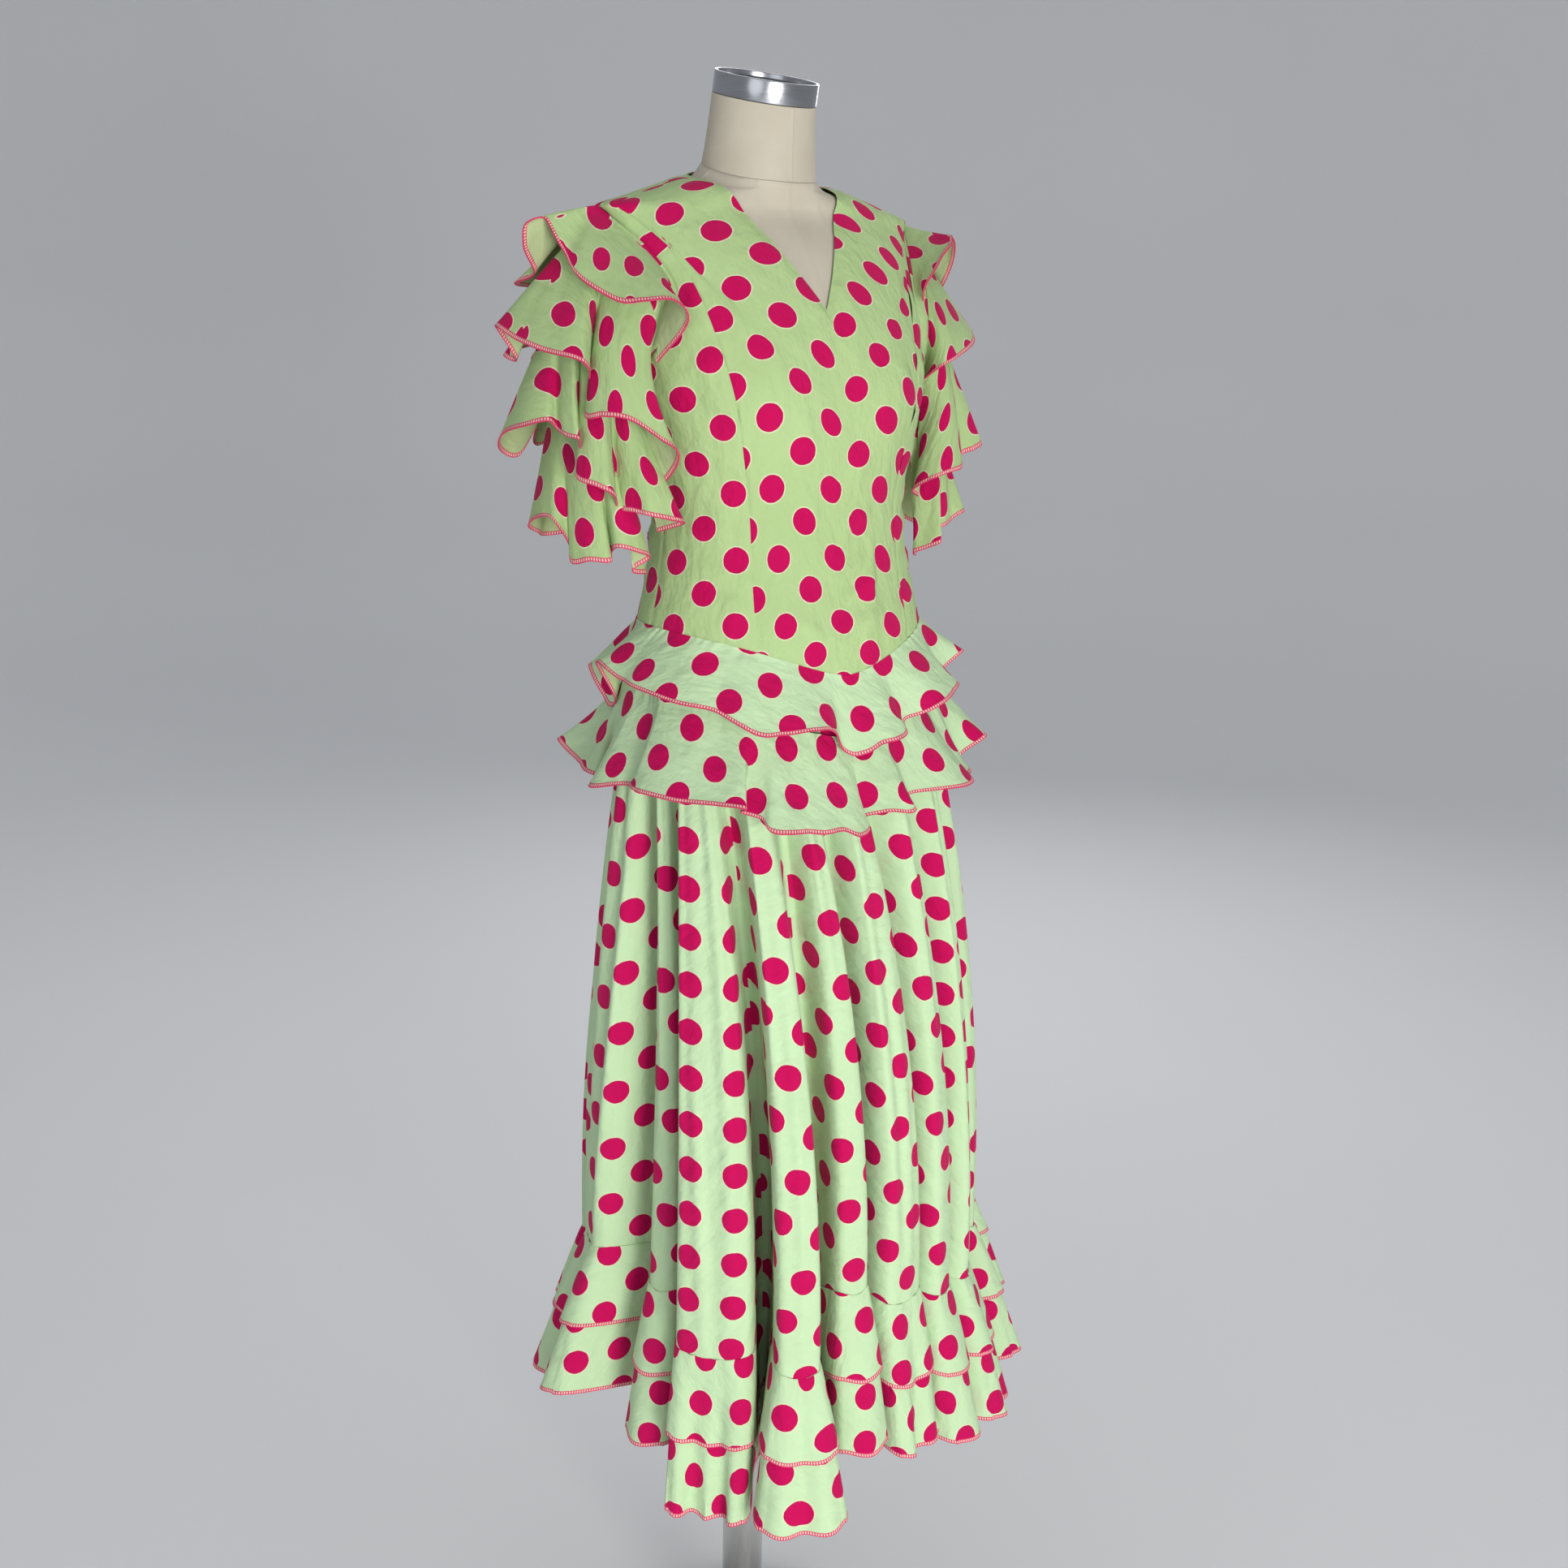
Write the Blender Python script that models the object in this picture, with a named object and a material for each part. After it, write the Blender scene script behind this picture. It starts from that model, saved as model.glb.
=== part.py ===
"""Flamenco dress on a limbless dress form with its stand.

Metres, +Z up, the front of the dress faces -Y, the wearer's left is +X.
The origin is the middle of the stand's base, on the floor. The heights of the dress and the
form are those at the stand's lowest setting; in the end the stand lifts them all.
Angles run from the centre front (0) round the wearer's left side (90) to the centre back (180).
Every piece of cloth is a wall round a middle surface worked out from the tables below.
"""
import math

import bpy
import bmesh
import numpy as np

# ---------------------------------------------------------------- driving sizes
BODICE_CLOTH = 0.0014          # wall thickness of the fitted panels
FLOUNCE_CLOTH = 0.0012         # wall thickness of skirt and flounces
SEAM_GAP = 0.0004              # cut pieces stand this far apart at their seams
LAYER_GAP = 0.0004             # a piece sewn on top of another stands this far off it

SEAM_SIDE_HEIGHT = 1.250       # dropped waist at the side seams
SEAM_FRONT_DIP = 0.047         # how far the seam dips in a V at the centre front
SEAM_DIP_SPREAD = 38.0         # degrees over which the dip runs out
UNDERARM_HEIGHT = 1.500
SHOULDER_TIP_HEIGHT = 1.668
PRINCESS_TOP_HEIGHT = 1.6875   # where the princess seam meets the shoulder seam
NECK_POINT_HEIGHT = 1.703      # neck end of the shoulder seam
NECKLINE_V_HEIGHT = 1.572      # point of the V
ARMHOLE_SCOOP = 33.0           # degrees by which the armhole cuts into front and back

SKIRT_CENTRE_Y = -0.035        # middle of the skirt's hem, in front of the pole
SKIRT_OPENING = 1.9            # how fast the skirt spreads below the seam (exponent)
FOLD_DEPTH_SHARE = 0.150       # fold depth for each metre below the waist seam
RIDGE_CROWN = 0.005            # how far a fold's ridge is rounded
TROUGH_WIDTH = 0.011           # inner width of the trough between two folds
TROUGH_LIFT = 0.008            # the hem seam lies this much higher in a trough
SKIRT_SEAM_DROP = 0.0012       # the skirt's upper edge lies this far below the bodice's

PEPLUM_UPPER_LENGTH = 0.086
PEPLUM_LOWER_LENGTH = 0.170    # measured from the waist seam
PEPLUM_WAVE_LEAN = 0.05        # how far the sides of a wave spread, as a share of the wave
PEPLUM_SIDE_SWING = 0.010      # both flounces swing out more over the hips
PEPLUM_LOWER_DROP = 0.062      # the lower flounce is sewn on this far below the seam

HEM_FLOUNCE_LENGTHS = (0.0, 0.050, 0.098, 0.140, 0.180)   # rows down the lower hem flounce
HEM_UPPER_ROWS = 3             # the upper hem flounce ends at this row of the lower
FLOUNCE_SEAM_STAND = 0.0022    # a flounce sewn on top stands this far off at its seam
HEM_UPPER_STAND = 0.0042       # and the upper hem flounce this far at its edge
RIDGE_SAG = 0.0010             # the lower flounce round the hips clears the skirt's ridges by this more
CORNER_LIMIT = 0.35            # keeps the stand-off round a sharp fold from running out

ZIP_SLIDER_HEIGHT = 1.7000
ZIP_SLIDER_LENGTH = 0.010
ZIP_PLATE_DEPTH = 0.0016
ZIP_BRIDGE_WIDTH = 0.0020
ZIP_PULL_LENGTH = 0.022
ZIP_ROD = 0.0009               # thickness of the pull and of its bar under the slider's bridge

STAND_LIFT = 0.140             # the stand's tube is drawn out by this much
BASE_RADIUS = 0.180
BASE_THICKNESS = 0.014
HUB_RADIUS = 0.042
HUB_HEIGHT = 0.050
POLE_RADIUS = 0.025
RING_RADIUS = 0.0545
RING_HEIGHT = 0.022
RING_WALL = 0.0025
RING_TOP_CENTRE = (0.0, -0.0025, 1.803)
RING_TILT = 13.0               # degrees that the neck leans forward
PLATE_RECESS = 0.005
NECK_RADII = ((0.0, 0.0620), (0.10, 0.0600), (0.25, 0.0585), (0.45, 0.0572), (0.70, 0.0558),
              (1.0, 0.0545))     # share of the neck's height, radius


def table(columns, rows):
    """A table with named columns, one row for each section, seam point or fold."""
    values = np.array(rows, float)
    return {name: values[:, index] for index, name in enumerate(columns.split())}


# Sections through the fitted bodice, from the dropped waist up to the neck.
BODICE = table("height half_width half_depth centre squareness tilt", [
    (1.190, 0.167, 0.127, -0.045, 2.10, 0),
    (1.245, 0.163, 0.122, -0.044, 2.10, 0),
    (1.300, 0.151, 0.111, -0.041, 2.10, 0),
    (1.375, 0.144, 0.105, -0.037, 2.10, 0),
    (1.440, 0.159, 0.113, -0.032, 2.15, 0),
    (1.500, 0.172, 0.116, -0.025, 2.20, 0),
    (1.560, 0.174, 0.110, -0.015, 2.25, 0),
    (1.600, 0.174, 0.098, -0.006, 2.30, 0),
    (1.640, 0.178, 0.080, 0.004, 2.25, 0),
    (1.660, 0.186, 0.068, 0.010, 2.15, 0),
    (1.668, 0.190, 0.064, 0.012, 2.10, 0),
    (1.678, 0.160, 0.064, 0.013, 2.05, 1),
    (1.688, 0.128, 0.065, 0.014, 2.00, 3),
    (1.697, 0.098, 0.066, 0.014, 2.00, 6),
    (1.703, 0.078, 0.067, 0.013, 2.00, 9),
    (1.712, 0.068, 0.066, 0.010, 2.00, 14),
])

# Sections through the lower part of the padded form. Above it the form fills the bodice.
FORM = table("height half_width half_depth centre squareness tilt", [
    (1.040, 0.112, 0.084, -0.033, 2.10, 0),
    (1.048, 0.130, 0.098, -0.035, 2.10, 0),
    (1.070, 0.138, 0.105, -0.037, 2.10, 0),
    (1.130, 0.143, 0.108, -0.039, 2.10, 0),
    (1.230, 0.140, 0.106, -0.038, 2.10, 0),
    (1.330, 0.116, 0.091, -0.034, 2.10, 0),
    (1.420, 0.136, 0.100, -0.030, 2.15, 0),
    (1.480, 0.158, 0.105, -0.024, 2.20, 0),
])
FORM_SHOULDER_HEIGHTS = (1.520, 1.560, 1.595, 1.625, 1.645, 1.657, 1.665, 1.671, 1.678, 1.688,
                         1.697, 1.703, 1.712)
FORM_CLEARANCE = 0.0055        # the form lies this far inside the bodice
FORM_SHOULDER_SHARE = 0.955    # and its shoulders are this much narrower

BUST_RISE = 0.011              # how far each bust stands out of the oval section
BUST_HALF_SPAN = 0.082
BUST_HEIGHT = 1.490
BUST_SPREAD = 0.050

# The princess seam on the front, from the waist seam up to the shoulder seam.
PRINCESS = table("height angle", [
    (1.2310, 35.0), (1.3000, 37.5), (1.3700, 39.0), (1.4300, 39.5), (1.5000, 41.0),
    (1.5500, 44.0), (1.5950, 48.5), (1.6300, 55.0), (1.6500, 62.0), (1.6650, 70.0), (1.6780, 80.0),
    (PRINCESS_TOP_HEIGHT, 90.0),
])

# Where the cloth lines of the front centre lie, from the middle to the princess seam: closer
# together where the cloth rounds the shoulder.
FRONT_COLUMN_SHARES = (0.0, 0.22, 0.42, 0.59, 0.73, 0.85, 0.94, 1.0)

# Heights down the side seam and round the armhole, row for row beside the princess seam.
SIDE_HEIGHTS = (1.250, 1.310, 1.380, 1.440, UNDERARM_HEIGHT, 1.530, 1.570, 1.600, 1.630, 1.648,
                1.660, SHOULDER_TIP_HEIGHT)

# The skirt's folds at its lower edge, in order round the hem.
# ridge_height is the lower edge of the skirt at the ridge, lean the turn of the fold from hem
# to hip, bell the width of the flounce under the ridge, flare how far that flounce swings out.
FOLDS = table("angle ridge_radius ridge_width ridge_height lean bell flare pinch", [
    (-108, 0.210, 0.068, 0.512, 24, 0.092, 0.062, -0.006),
    (-74, 0.184, 0.036, 0.490, 6, 0.060, 0.040, 0.004),
    (-51, 0.226, 0.084, 0.470, 0, 0.092, 0.026, -0.020),
    (-27, 0.246, 0.050, 0.456, 0, 0.100, 0.036, 0.004),
    (-8, 0.208, 0.036, 0.518, 0, 0.062, 0.036, 0.004),
    (11, 0.216, 0.058, 0.500, 0, 0.070, 0.034, -0.008),
    (28, 0.230, 0.044, 0.484, 0, 0.064, 0.040, 0.004),
    (46, 0.244, 0.058, 0.476, 0, 0.084, 0.046, 0.006),
    (66, 0.256, 0.052, 0.500, 0, 0.088, 0.056, 0.006),
    (86, 0.270, 0.058, 0.530, 0, 0.096, 0.070, -0.006),
    (106, 0.262, 0.052, 0.510, 0, 0.090, 0.066, 0.006),
    (125, 0.256, 0.058, 0.486, 0, 0.088, 0.060, -0.010),
    (143, 0.250, 0.050, 0.470, 0, 0.080, 0.052, 0.006),
    (161, 0.254, 0.060, 0.462, 0, 0.092, 0.058, -0.010),
    (180, 0.256, 0.056, 0.458, 0, 0.090, 0.060, 0.006),
    (198, 0.246, 0.050, 0.464, 0, 0.082, 0.052, 0.006),
    (216, 0.230, 0.056, 0.476, 0, 0.084, 0.054, -0.008),
    (234, 0.212, 0.046, 0.494, 8, 0.062, 0.058, 0.004),
])
SKIRT_ROWS = (0.0, 0.04, 0.10, 0.19, 0.31, 0.46, 0.63, 0.81, 1.0)

# Crests of the waist flounces: angle and how far each crest stands out at the edge.
PEPLUM_UPPER_WAVES = table("angle rise", [
    (-150, 0.024), (-124, 0.028), (-100, 0.018), (-72, 0.016), (-50, 0.020), (-30, 0.024),
    (-8, 0.028), (14, 0.026), (36, 0.028), (58, 0.022), (82, 0.024), (108, 0.022),
    (133, 0.026), (158, 0.024), (184, 0.026),
])
PEPLUM_LOWER_WAVES = table("angle rise", [
    (-158, 0.032), (-136, 0.038), (-114, 0.034), (-92, 0.018), (-70, 0.024), (-48, 0.022),
    (-28, 0.026), (-6, 0.030), (14, 0.026), (34, 0.030), (54, 0.026), (76, 0.024),
    (98, 0.028), (121, 0.028), (145, 0.030), (171, 0.028),
])

# The four sleeve flounces: where each is sewn on (share of the sleeve's length), the ends of
# its seam in degrees from the outer side (front +, back -), how far it swings out there, its
# length, how high its waves are and how late they open.
SLEEVE_TIERS = table("seam front_end back_end out length wave ease", [
    (0.03, 84, -92, 0.048, 0.078, 1.0, 0.8),
    (0.24, 116, -100, 0.048, 0.132, 1.0, 1.2),
    (0.54, 128, -106, 0.032, 0.152, 1.0, 1.2),
    (0.95, 140, -120, 0.006, 0.146, 0.7, 1.2),
])
SLEEVE_WAVE_CRESTS = (-0.86, -0.52, -0.20, 0.12, 0.44, 0.78)
SLEEVE_WAVE_RISES = (0.022, 0.028, 0.018, 0.026, 0.022, 0.024)
SLEEVE_FRONT_SWING = 0.50      # at front and back it swings out this share of the outer side's
SLEEVE_TIER_SHIFTS = (0.0, 0.09, -0.07, 0.12)   # waves of neighbouring flounces are out of step
SLEEVE_SEAM_STAND = 0.0020     # the sleeve starts this far off the bodice's middle surface
SLEEVE_CAP_DROP = 0.028        # height of the sleeve cap's rounded top
SLEEVE_TIER_COLUMNS = 25
SLEEVE_TIER_ROWS = (0.0, 0.5, 1.0)
SLEEVE_HEM_CENTRE = (0.206, 0.014, 1.440)
SLEEVE_HEM_HALF_WIDTH = 0.028
SLEEVE_HEM_HALF_DEPTH = 0.062
SLEEVE_LEFT_SWING = 0.75       # the left sleeve's flounces swing out less than the right's
SLEEVE_COLUMNS = 16
SLEEVE_ROWS = 6


# ---------------------------------------------------------------- sums and curves
def through(keys, values, at):
    """A smooth curve through the rows of a table (cubic, slopes from the neighbours)."""
    at = np.asarray(at, float)
    slopes = np.gradient(values, keys)
    row = np.clip(np.searchsorted(keys, at, side="right") - 1, 0, len(keys) - 2)
    span = keys[row + 1] - keys[row]
    t = np.clip((at - keys[row]) / span, 0.0, 1.0)
    return ((2 * t**3 - 3 * t**2 + 1) * values[row] + (t**3 - 2 * t**2 + t) * span * slopes[row]
            + (3 * t**2 - 2 * t**3) * values[row + 1] + (t**3 - t**2) * span * slopes[row + 1])


def around(angles, values, at):
    """The same round the body: the table's angles repeat every 360 degrees."""
    keys = np.concatenate([angles - 360, angles, angles + 360])
    return through(keys, np.tile(values, 3), wrapped(at))


def wrapped(angle):
    return (np.asarray(angle, float) + 180.0) % 360.0 - 180.0


def unit(vectors):
    return vectors / np.linalg.norm(vectors, axis=-1, keepdims=True)


def direction(angle):
    """Horizontal unit vector at an angle from the centre front."""
    a = np.radians(angle)
    return np.stack([np.sin(a), -np.cos(a), np.zeros_like(a)], -1)


def body_point(sections, angle, height):
    """A point of a body section; angle and height may be arrays."""
    angle, height = np.broadcast_arrays(np.asarray(angle, float), np.asarray(height, float))
    value = {name: through(sections["height"], column, height)
             for name, column in sections.items() if name != "height"}
    s, c = np.sin(np.radians(angle)), np.cos(np.radians(angle))
    power = 2.0 / value["squareness"]
    x = value["half_width"] * np.sign(s) * np.abs(s) ** power
    y = -value["half_depth"] * np.sign(c) * np.abs(c) ** power
    z = height + np.tan(np.radians(value["tilt"])) * y
    rise = BUST_RISE * np.exp(-((np.abs(x) - BUST_HALF_SPAN) / BUST_SPREAD) ** 2
                              - ((height - BUST_HEIGHT) / BUST_SPREAD) ** 2)
    y = y - rise * np.clip(c * 3.0, 0.0, 1.0)
    return np.stack([x, y + value["centre"], z], -1)


def body_normal(sections, angle, height):
    """Outward unit normal of the body surface, by small steps."""
    step_a, step_h = 0.5, 0.0008
    along = body_point(sections, angle + step_a, height) - body_point(sections, angle - step_a, height)
    up = body_point(sections, angle, height + step_h) - body_point(sections, angle, height - step_h)
    return unit(np.cross(along, up))


def waist_seam_height(angle):
    spread = np.abs(wrapped(angle)) / SEAM_DIP_SPREAD
    return SEAM_SIDE_HEIGHT - SEAM_FRONT_DIP * np.exp(-spread ** 1.5)


# ---------------------------------------------------------------- meshes and materials
def material(name, colour, roughness, metallic=0.0):
    """A plain Principled finish."""
    made = bpy.data.materials.get(name) or bpy.data.materials.new(name)
    made.use_nodes = True
    shader = made.node_tree.nodes["Principled BSDF"]
    shader.inputs["Base Color"].default_value = (*colour, 1.0)
    shader.inputs["Roughness"].default_value = roughness
    shader.inputs["Metallic"].default_value = metallic
    return made


def add_object(name, points, faces, finish, smooth=True):
    """A closed mesh object with its faces turned outwards."""
    mesh = bpy.data.meshes.new(name)
    mesh.from_pydata([tuple(p) for p in points], [], faces)
    shape = bmesh.new()
    shape.from_mesh(mesh)
    bmesh.ops.triangulate(shape, faces=[f for f in shape.faces if len(f.verts) > 4])
    if shape.calc_volume(signed=True) < 0:
        bmesh.ops.reverse_faces(shape, faces=shape.faces)
    shape.to_mesh(mesh)
    shape.free()
    mesh.materials.append(finish)
    if smooth:
        mesh.shade_smooth()
        mesh.set_sharp_from_angle(angle=math.radians(40))
    made = bpy.data.objects.new(name, mesh)
    bpy.context.scene.collection.objects.link(made)
    return made


def grid_normals(grid, closed):
    """Unit normals at the points of a grid of rows and columns."""
    if closed:
        across = np.roll(grid, -1, 1) - np.roll(grid, 1, 1)
    else:
        across = np.gradient(grid, axis=1)
    return unit(np.cross(across, np.gradient(grid, axis=0)))


def pull_in(grid, closed, gap=SEAM_GAP / 2):
    """Shortens a grid of cloth by half a seam gap along each free edge."""
    grid = grid.copy()
    for edge, inner in ((0, 1), (-1, -2)):
        grid[edge] += gap * unit(grid[inner] - grid[edge])
    if not closed:
        for edge, inner in ((0, 1), (-1, -2)):
            grid[:, edge] += gap * unit(grid[:, inner] - grid[:, edge])
    return grid


def cloth_wall(name, grid, thickness, closed, finish, normals=None, creased_like=None):
    """A closed wall of even thickness round a grid; both faces share their diagonals.

    Pieces that meet at a seam are given the normals of the whole surface, so that their
    edges stand parallel. A piece that lies on another is creased like it."""
    if normals is None:
        normals = grid_normals(grid, closed)
    grid = pull_in(grid, closed)
    rows, columns = grid.shape[:2]
    points = np.concatenate([(grid + normals * thickness / 2).reshape(-1, 3),
                             (grid - normals * thickness / 2).reshape(-1, 3)])
    inner = rows * columns
    steps = columns if closed else columns - 1
    flat = (grid if creased_like is None else creased_like).reshape(-1, 3)
    faces = []
    for r in range(rows - 1):
        for c in range(steps):
            a, b = r * columns + c, r * columns + (c + 1) % columns
            d, e = a + columns, b + columns
            if np.linalg.norm(flat[a] - flat[e]) <= np.linalg.norm(flat[b] - flat[d]):
                halves = [(a, b, e), (a, e, d)]
            else:
                halves = [(a, b, d), (b, e, d)]
            faces += halves + [tuple(inner + i for i in half[::-1]) for half in halves]
    for r in (0, rows - 1):
        for c in range(steps):
            a, b = r * columns + c, r * columns + (c + 1) % columns
            pair = [(a, inner + a, inner + b), (a, inner + b, b)]
            faces += pair if r == 0 else [face[::-1] for face in pair]
    if not closed:
        for c in (0, columns - 1):
            for r in range(rows - 1):
                a, d = r * columns + c, (r + 1) * columns + c
                pair = [(a, d, inner + d), (a, inner + d, inner + a)]
                faces += pair if c == 0 else [face[::-1] for face in pair]
    return add_object(name, points, faces, finish)


def lofted(name, rings, finish, bored=False):
    """A closed solid through rings of points: flat ends, or the last ring joined to the first."""
    rings = np.asarray(rings)
    rows, columns = rings.shape[:2]
    faces = []
    for r in range(rows if bored else rows - 1):
        below, above = r * columns, (r + 1) % rows * columns
        for c in range(columns):
            following = (c + 1) % columns
            faces.append((below + c, below + following, above + following, above + c))
    if not bored:
        faces.append(tuple(reversed(range(columns))))
        faces.append(tuple(range((rows - 1) * columns, rows * columns)))
    return add_object(name, rings.reshape(-1, 3), faces, finish)


def tilted(points, degrees, centre):
    """Leans points forward about the X axis and moves them to their centre."""
    lean = math.radians(degrees)
    turn = np.array([[1, 0, 0], [0, math.cos(lean), -math.sin(lean)],
                     [0, math.sin(lean), math.cos(lean)]])
    return np.asarray(points) @ turn.T + np.array(centre)


def turned(name, profile, centre, finish, sides=36, lean=0.0, bored=False):
    """A turned solid from profile rows of radius and height."""
    angle = np.linspace(0, 360, sides, endpoint=False)
    rings = [direction(angle) * radius + np.array([0, 0, height]) for radius, height in profile]
    return lofted(name, tilted(rings, lean, centre), finish, bored)


# ---------------------------------------------------------------- the fitted bodice
def patch(bottom, top, left, right, shares=None):
    """Fills a four-sided piece on the body's surface from its edges (angle, height)."""
    bottom, top, left, right = (np.asarray(edge, float) for edge in (bottom, top, left, right))
    u = (np.linspace(0, 1, len(bottom)) if shares is None else np.array(shares))[None, :, None]
    v = np.linspace(0, 1, len(left))[:, None, None]
    ruled = (1 - v) * bottom[None] + v * top[None] + (1 - u) * left[:, None] + u * right[:, None]
    corners = ((1 - u) * (1 - v) * bottom[0] + u * (1 - v) * bottom[-1]
               + (1 - u) * v * top[0] + u * v * top[-1])
    return ruled - corners


def side_edge(sign):
    """Side seam and armhole of a front (+1) or a back (-1), as angles from 90 degrees."""
    heights = np.array(SIDE_HEIGHTS)
    share = np.clip((heights - UNDERARM_HEIGHT) / (SHOULDER_TIP_HEIGHT - UNDERARM_HEIGHT), 0, 1)
    return np.stack([90 - sign * ARMHOLE_SCOOP * np.sin(np.pi * share), heights], -1)


def shoulder_edge(start, end, count):
    heights = np.linspace(start, end, count)
    return np.stack([np.full(count, 90.0), heights], -1)


def neckline_edge(shares):
    """The V neckline, straight in front view from its point to the neck point."""
    neck_point = body_point(BODICE, 90, NECK_POINT_HEIGHT)
    edge = []
    for share in shares:
        x = share * neck_point[0]
        z = NECKLINE_V_HEIGHT + share * (neck_point[2] - NECKLINE_V_HEIGHT)
        height, angle = z, 90.0 * share
        for _ in range(30):
            width = through(BODICE["height"], BODICE["half_width"], height)
            power = 2.0 / through(BODICE["height"], BODICE["squareness"], height)
            angle = math.degrees(math.asin(min(x / width, 1.0) ** (1 / power)))
            height += 0.6 * (z - body_point(BODICE, angle, height)[2])
        edge.append((angle, height))
    edge[-1] = (90.0, NECK_POINT_HEIGHT)
    return np.array(edge)


def waist_edge(start, end, shares):
    angles = start + (end - start) * np.array(shares)
    return np.stack([angles, waist_seam_height(angles)], -1)


def panel_surface(sheet, side):
    """Points and normals of a sheet of (angle, height) on side +1, or mirrored to -1."""
    mirror = np.array([side, 1, 1])
    return (body_point(BODICE, sheet[..., 0], sheet[..., 1]) * mirror,
            body_normal(BODICE, sheet[..., 0], sheet[..., 1]) * mirror)


def as_front_view(edge):
    """Turns (angle, height) into (distance from the centre, height)."""
    edge = np.asarray(edge, float)
    return np.stack([np.abs(body_point(BODICE, edge[..., 0], edge[..., 1])[..., 0]), edge[..., 1]], -1)


def from_front_view(sheet):
    """Back to (angle, height) on the body's surface."""
    width = through(BODICE["height"], BODICE["half_width"], sheet[..., 1])
    power = through(BODICE["height"], BODICE["squareness"], sheet[..., 1]) / 2.0
    share = np.clip(sheet[..., 0] / width, 0.0, 1.0)
    return np.stack([np.degrees(np.arcsin(share ** power)), sheet[..., 1]], -1)


def front_centre_sheet():
    """Half of the front: filled in front view, because its top runs over the shoulder."""
    seam = np.stack([PRINCESS["angle"], PRINCESS["height"]], -1)
    seam[0, 1] = waist_seam_height(seam[0, 0])
    outer = np.concatenate([seam, shoulder_edge(PRINCESS_TOP_HEIGHT, NECK_POINT_HEIGHT, 3)[1:]])
    front_foot = waist_seam_height(0)
    middle = np.stack([np.zeros(len(outer)), np.linspace(front_foot, NECKLINE_V_HEIGHT, len(outer))], -1)
    shares = FRONT_COLUMN_SHARES
    edges = (waist_edge(0, seam[0, 0], shares), neckline_edge(shares), middle, outer)
    sheet = from_front_view(patch(*(as_front_view(edge) for edge in edges), shares))
    sheet[0], sheet[-1], sheet[:, 0], sheet[:, -1] = edges
    return sheet


def front_side_sheet(columns=5):
    seam = np.stack([PRINCESS["angle"], PRINCESS["height"]], -1)
    seam[0, 1] = waist_seam_height(seam[0, 0])
    top = shoulder_edge(PRINCESS_TOP_HEIGHT, SHOULDER_TIP_HEIGHT, columns)
    return patch(waist_edge(seam[0, 0], 90, np.linspace(0, 1, columns)), top, seam, side_edge(1))


def back_sheet(columns=8):
    shoulder = np.concatenate([shoulder_edge(SHOULDER_TIP_HEIGHT, PRINCESS_TOP_HEIGHT, 5)[1:],
                               shoulder_edge(PRINCESS_TOP_HEIGHT, NECK_POINT_HEIGHT, 3)[1:]])
    outer = np.concatenate([side_edge(-1), shoulder])
    rows = len(outer)
    share = np.linspace(0, 1, rows)
    middle = np.stack([np.full(rows, 180.0),
                       SEAM_SIDE_HEIGHT + share * (NECK_POINT_HEIGHT - SEAM_SIDE_HEIGHT)], -1)
    spread = np.linspace(0, 1, columns) ** 1.35
    angles = 90 + 90 * spread
    bottom = np.stack([angles, waist_seam_height(angles)], -1)
    top = np.stack([angles, np.full(columns, NECK_POINT_HEIGHT)], -1)
    return patch(bottom, top, outer, middle)


def build_bodice(cloth):
    half = front_centre_sheet()
    points, normals = (np.concatenate([right[:, ::-1], left[:, 1:]], axis=1)
                       for right, left in zip(panel_surface(half, -1), panel_surface(half, 1)))
    cloth_wall("bodice_front_centre", points, BODICE_CLOTH, False, cloth, normals)
    for side, word in ((1, "left"), (-1, "right")):
        for name, sheet in (("bodice_front_side", front_side_sheet()), ("bodice_back", back_sheet())):
            points, normals = panel_surface(sheet, side)
            cloth_wall(f"{name}_{word}", points, BODICE_CLOTH, False, cloth, normals)


# ---------------------------------------------------------------- the skirt and its hem
def fold_columns():
    """Five cloth lines for each fold: angle, radius and height at the hem, depth share, fold."""
    count = len(FOLDS["angle"])
    lines = []
    for i in range(count):
        j = (i + 1) % count
        here, following = FOLDS["angle"][i], FOLDS["angle"][j] + (360 if j == 0 else 0)
        radius, next_radius = FOLDS["ridge_radius"][i], FOLDS["ridge_radius"][j]
        half = math.degrees(FOLDS["ridge_width"][i] / 2 / radius)
        next_half = math.degrees(FOLDS["ridge_width"][j] / 2 / next_radius)
        trough = (here + half + following - next_half) / 2
        height, next_height = FOLDS["ridge_height"][i], FOLDS["ridge_height"][j]
        trough_height = (height + next_height) / 2 + TROUGH_LIFT
        trough_radius = (radius + next_radius) / 2
        bottom = trough_radius - FOLD_DEPTH_SHARE * (SEAM_SIDE_HEIGHT - trough_height)
        trough_half = math.degrees(TROUGH_WIDTH / 2 / bottom)
        lines += [
            (here - half, radius - RIDGE_CROWN, height + RIDGE_CROWN, 0, i),
            (here, radius, height, 0, i),
            (here + half, radius - RIDGE_CROWN, height + RIDGE_CROWN, 0, i),
            (trough - trough_half, trough_radius, trough_height, 1, i),
            (trough + trough_half, trough_radius, trough_height, 1, j),
        ]
    return {name: np.array(values) for name, values in
            zip(("angle", "radius", "height", "depth", "fold"), zip(*lines))}


def hem_centre():
    return np.array([0.0, SKIRT_CENTRE_Y, 0.0])


def fold_depth(lines):
    return FOLD_DEPTH_SHARE * (SEAM_SIDE_HEIGHT - lines["height"])


def hem_points(lines):
    """The skirt's lower edge."""
    points = hem_centre() + direction(lines["angle"]) * (
        lines["radius"] - lines["depth"] * fold_depth(lines))[:, None]
    points[:, 2] = lines["height"]
    return points


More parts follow.
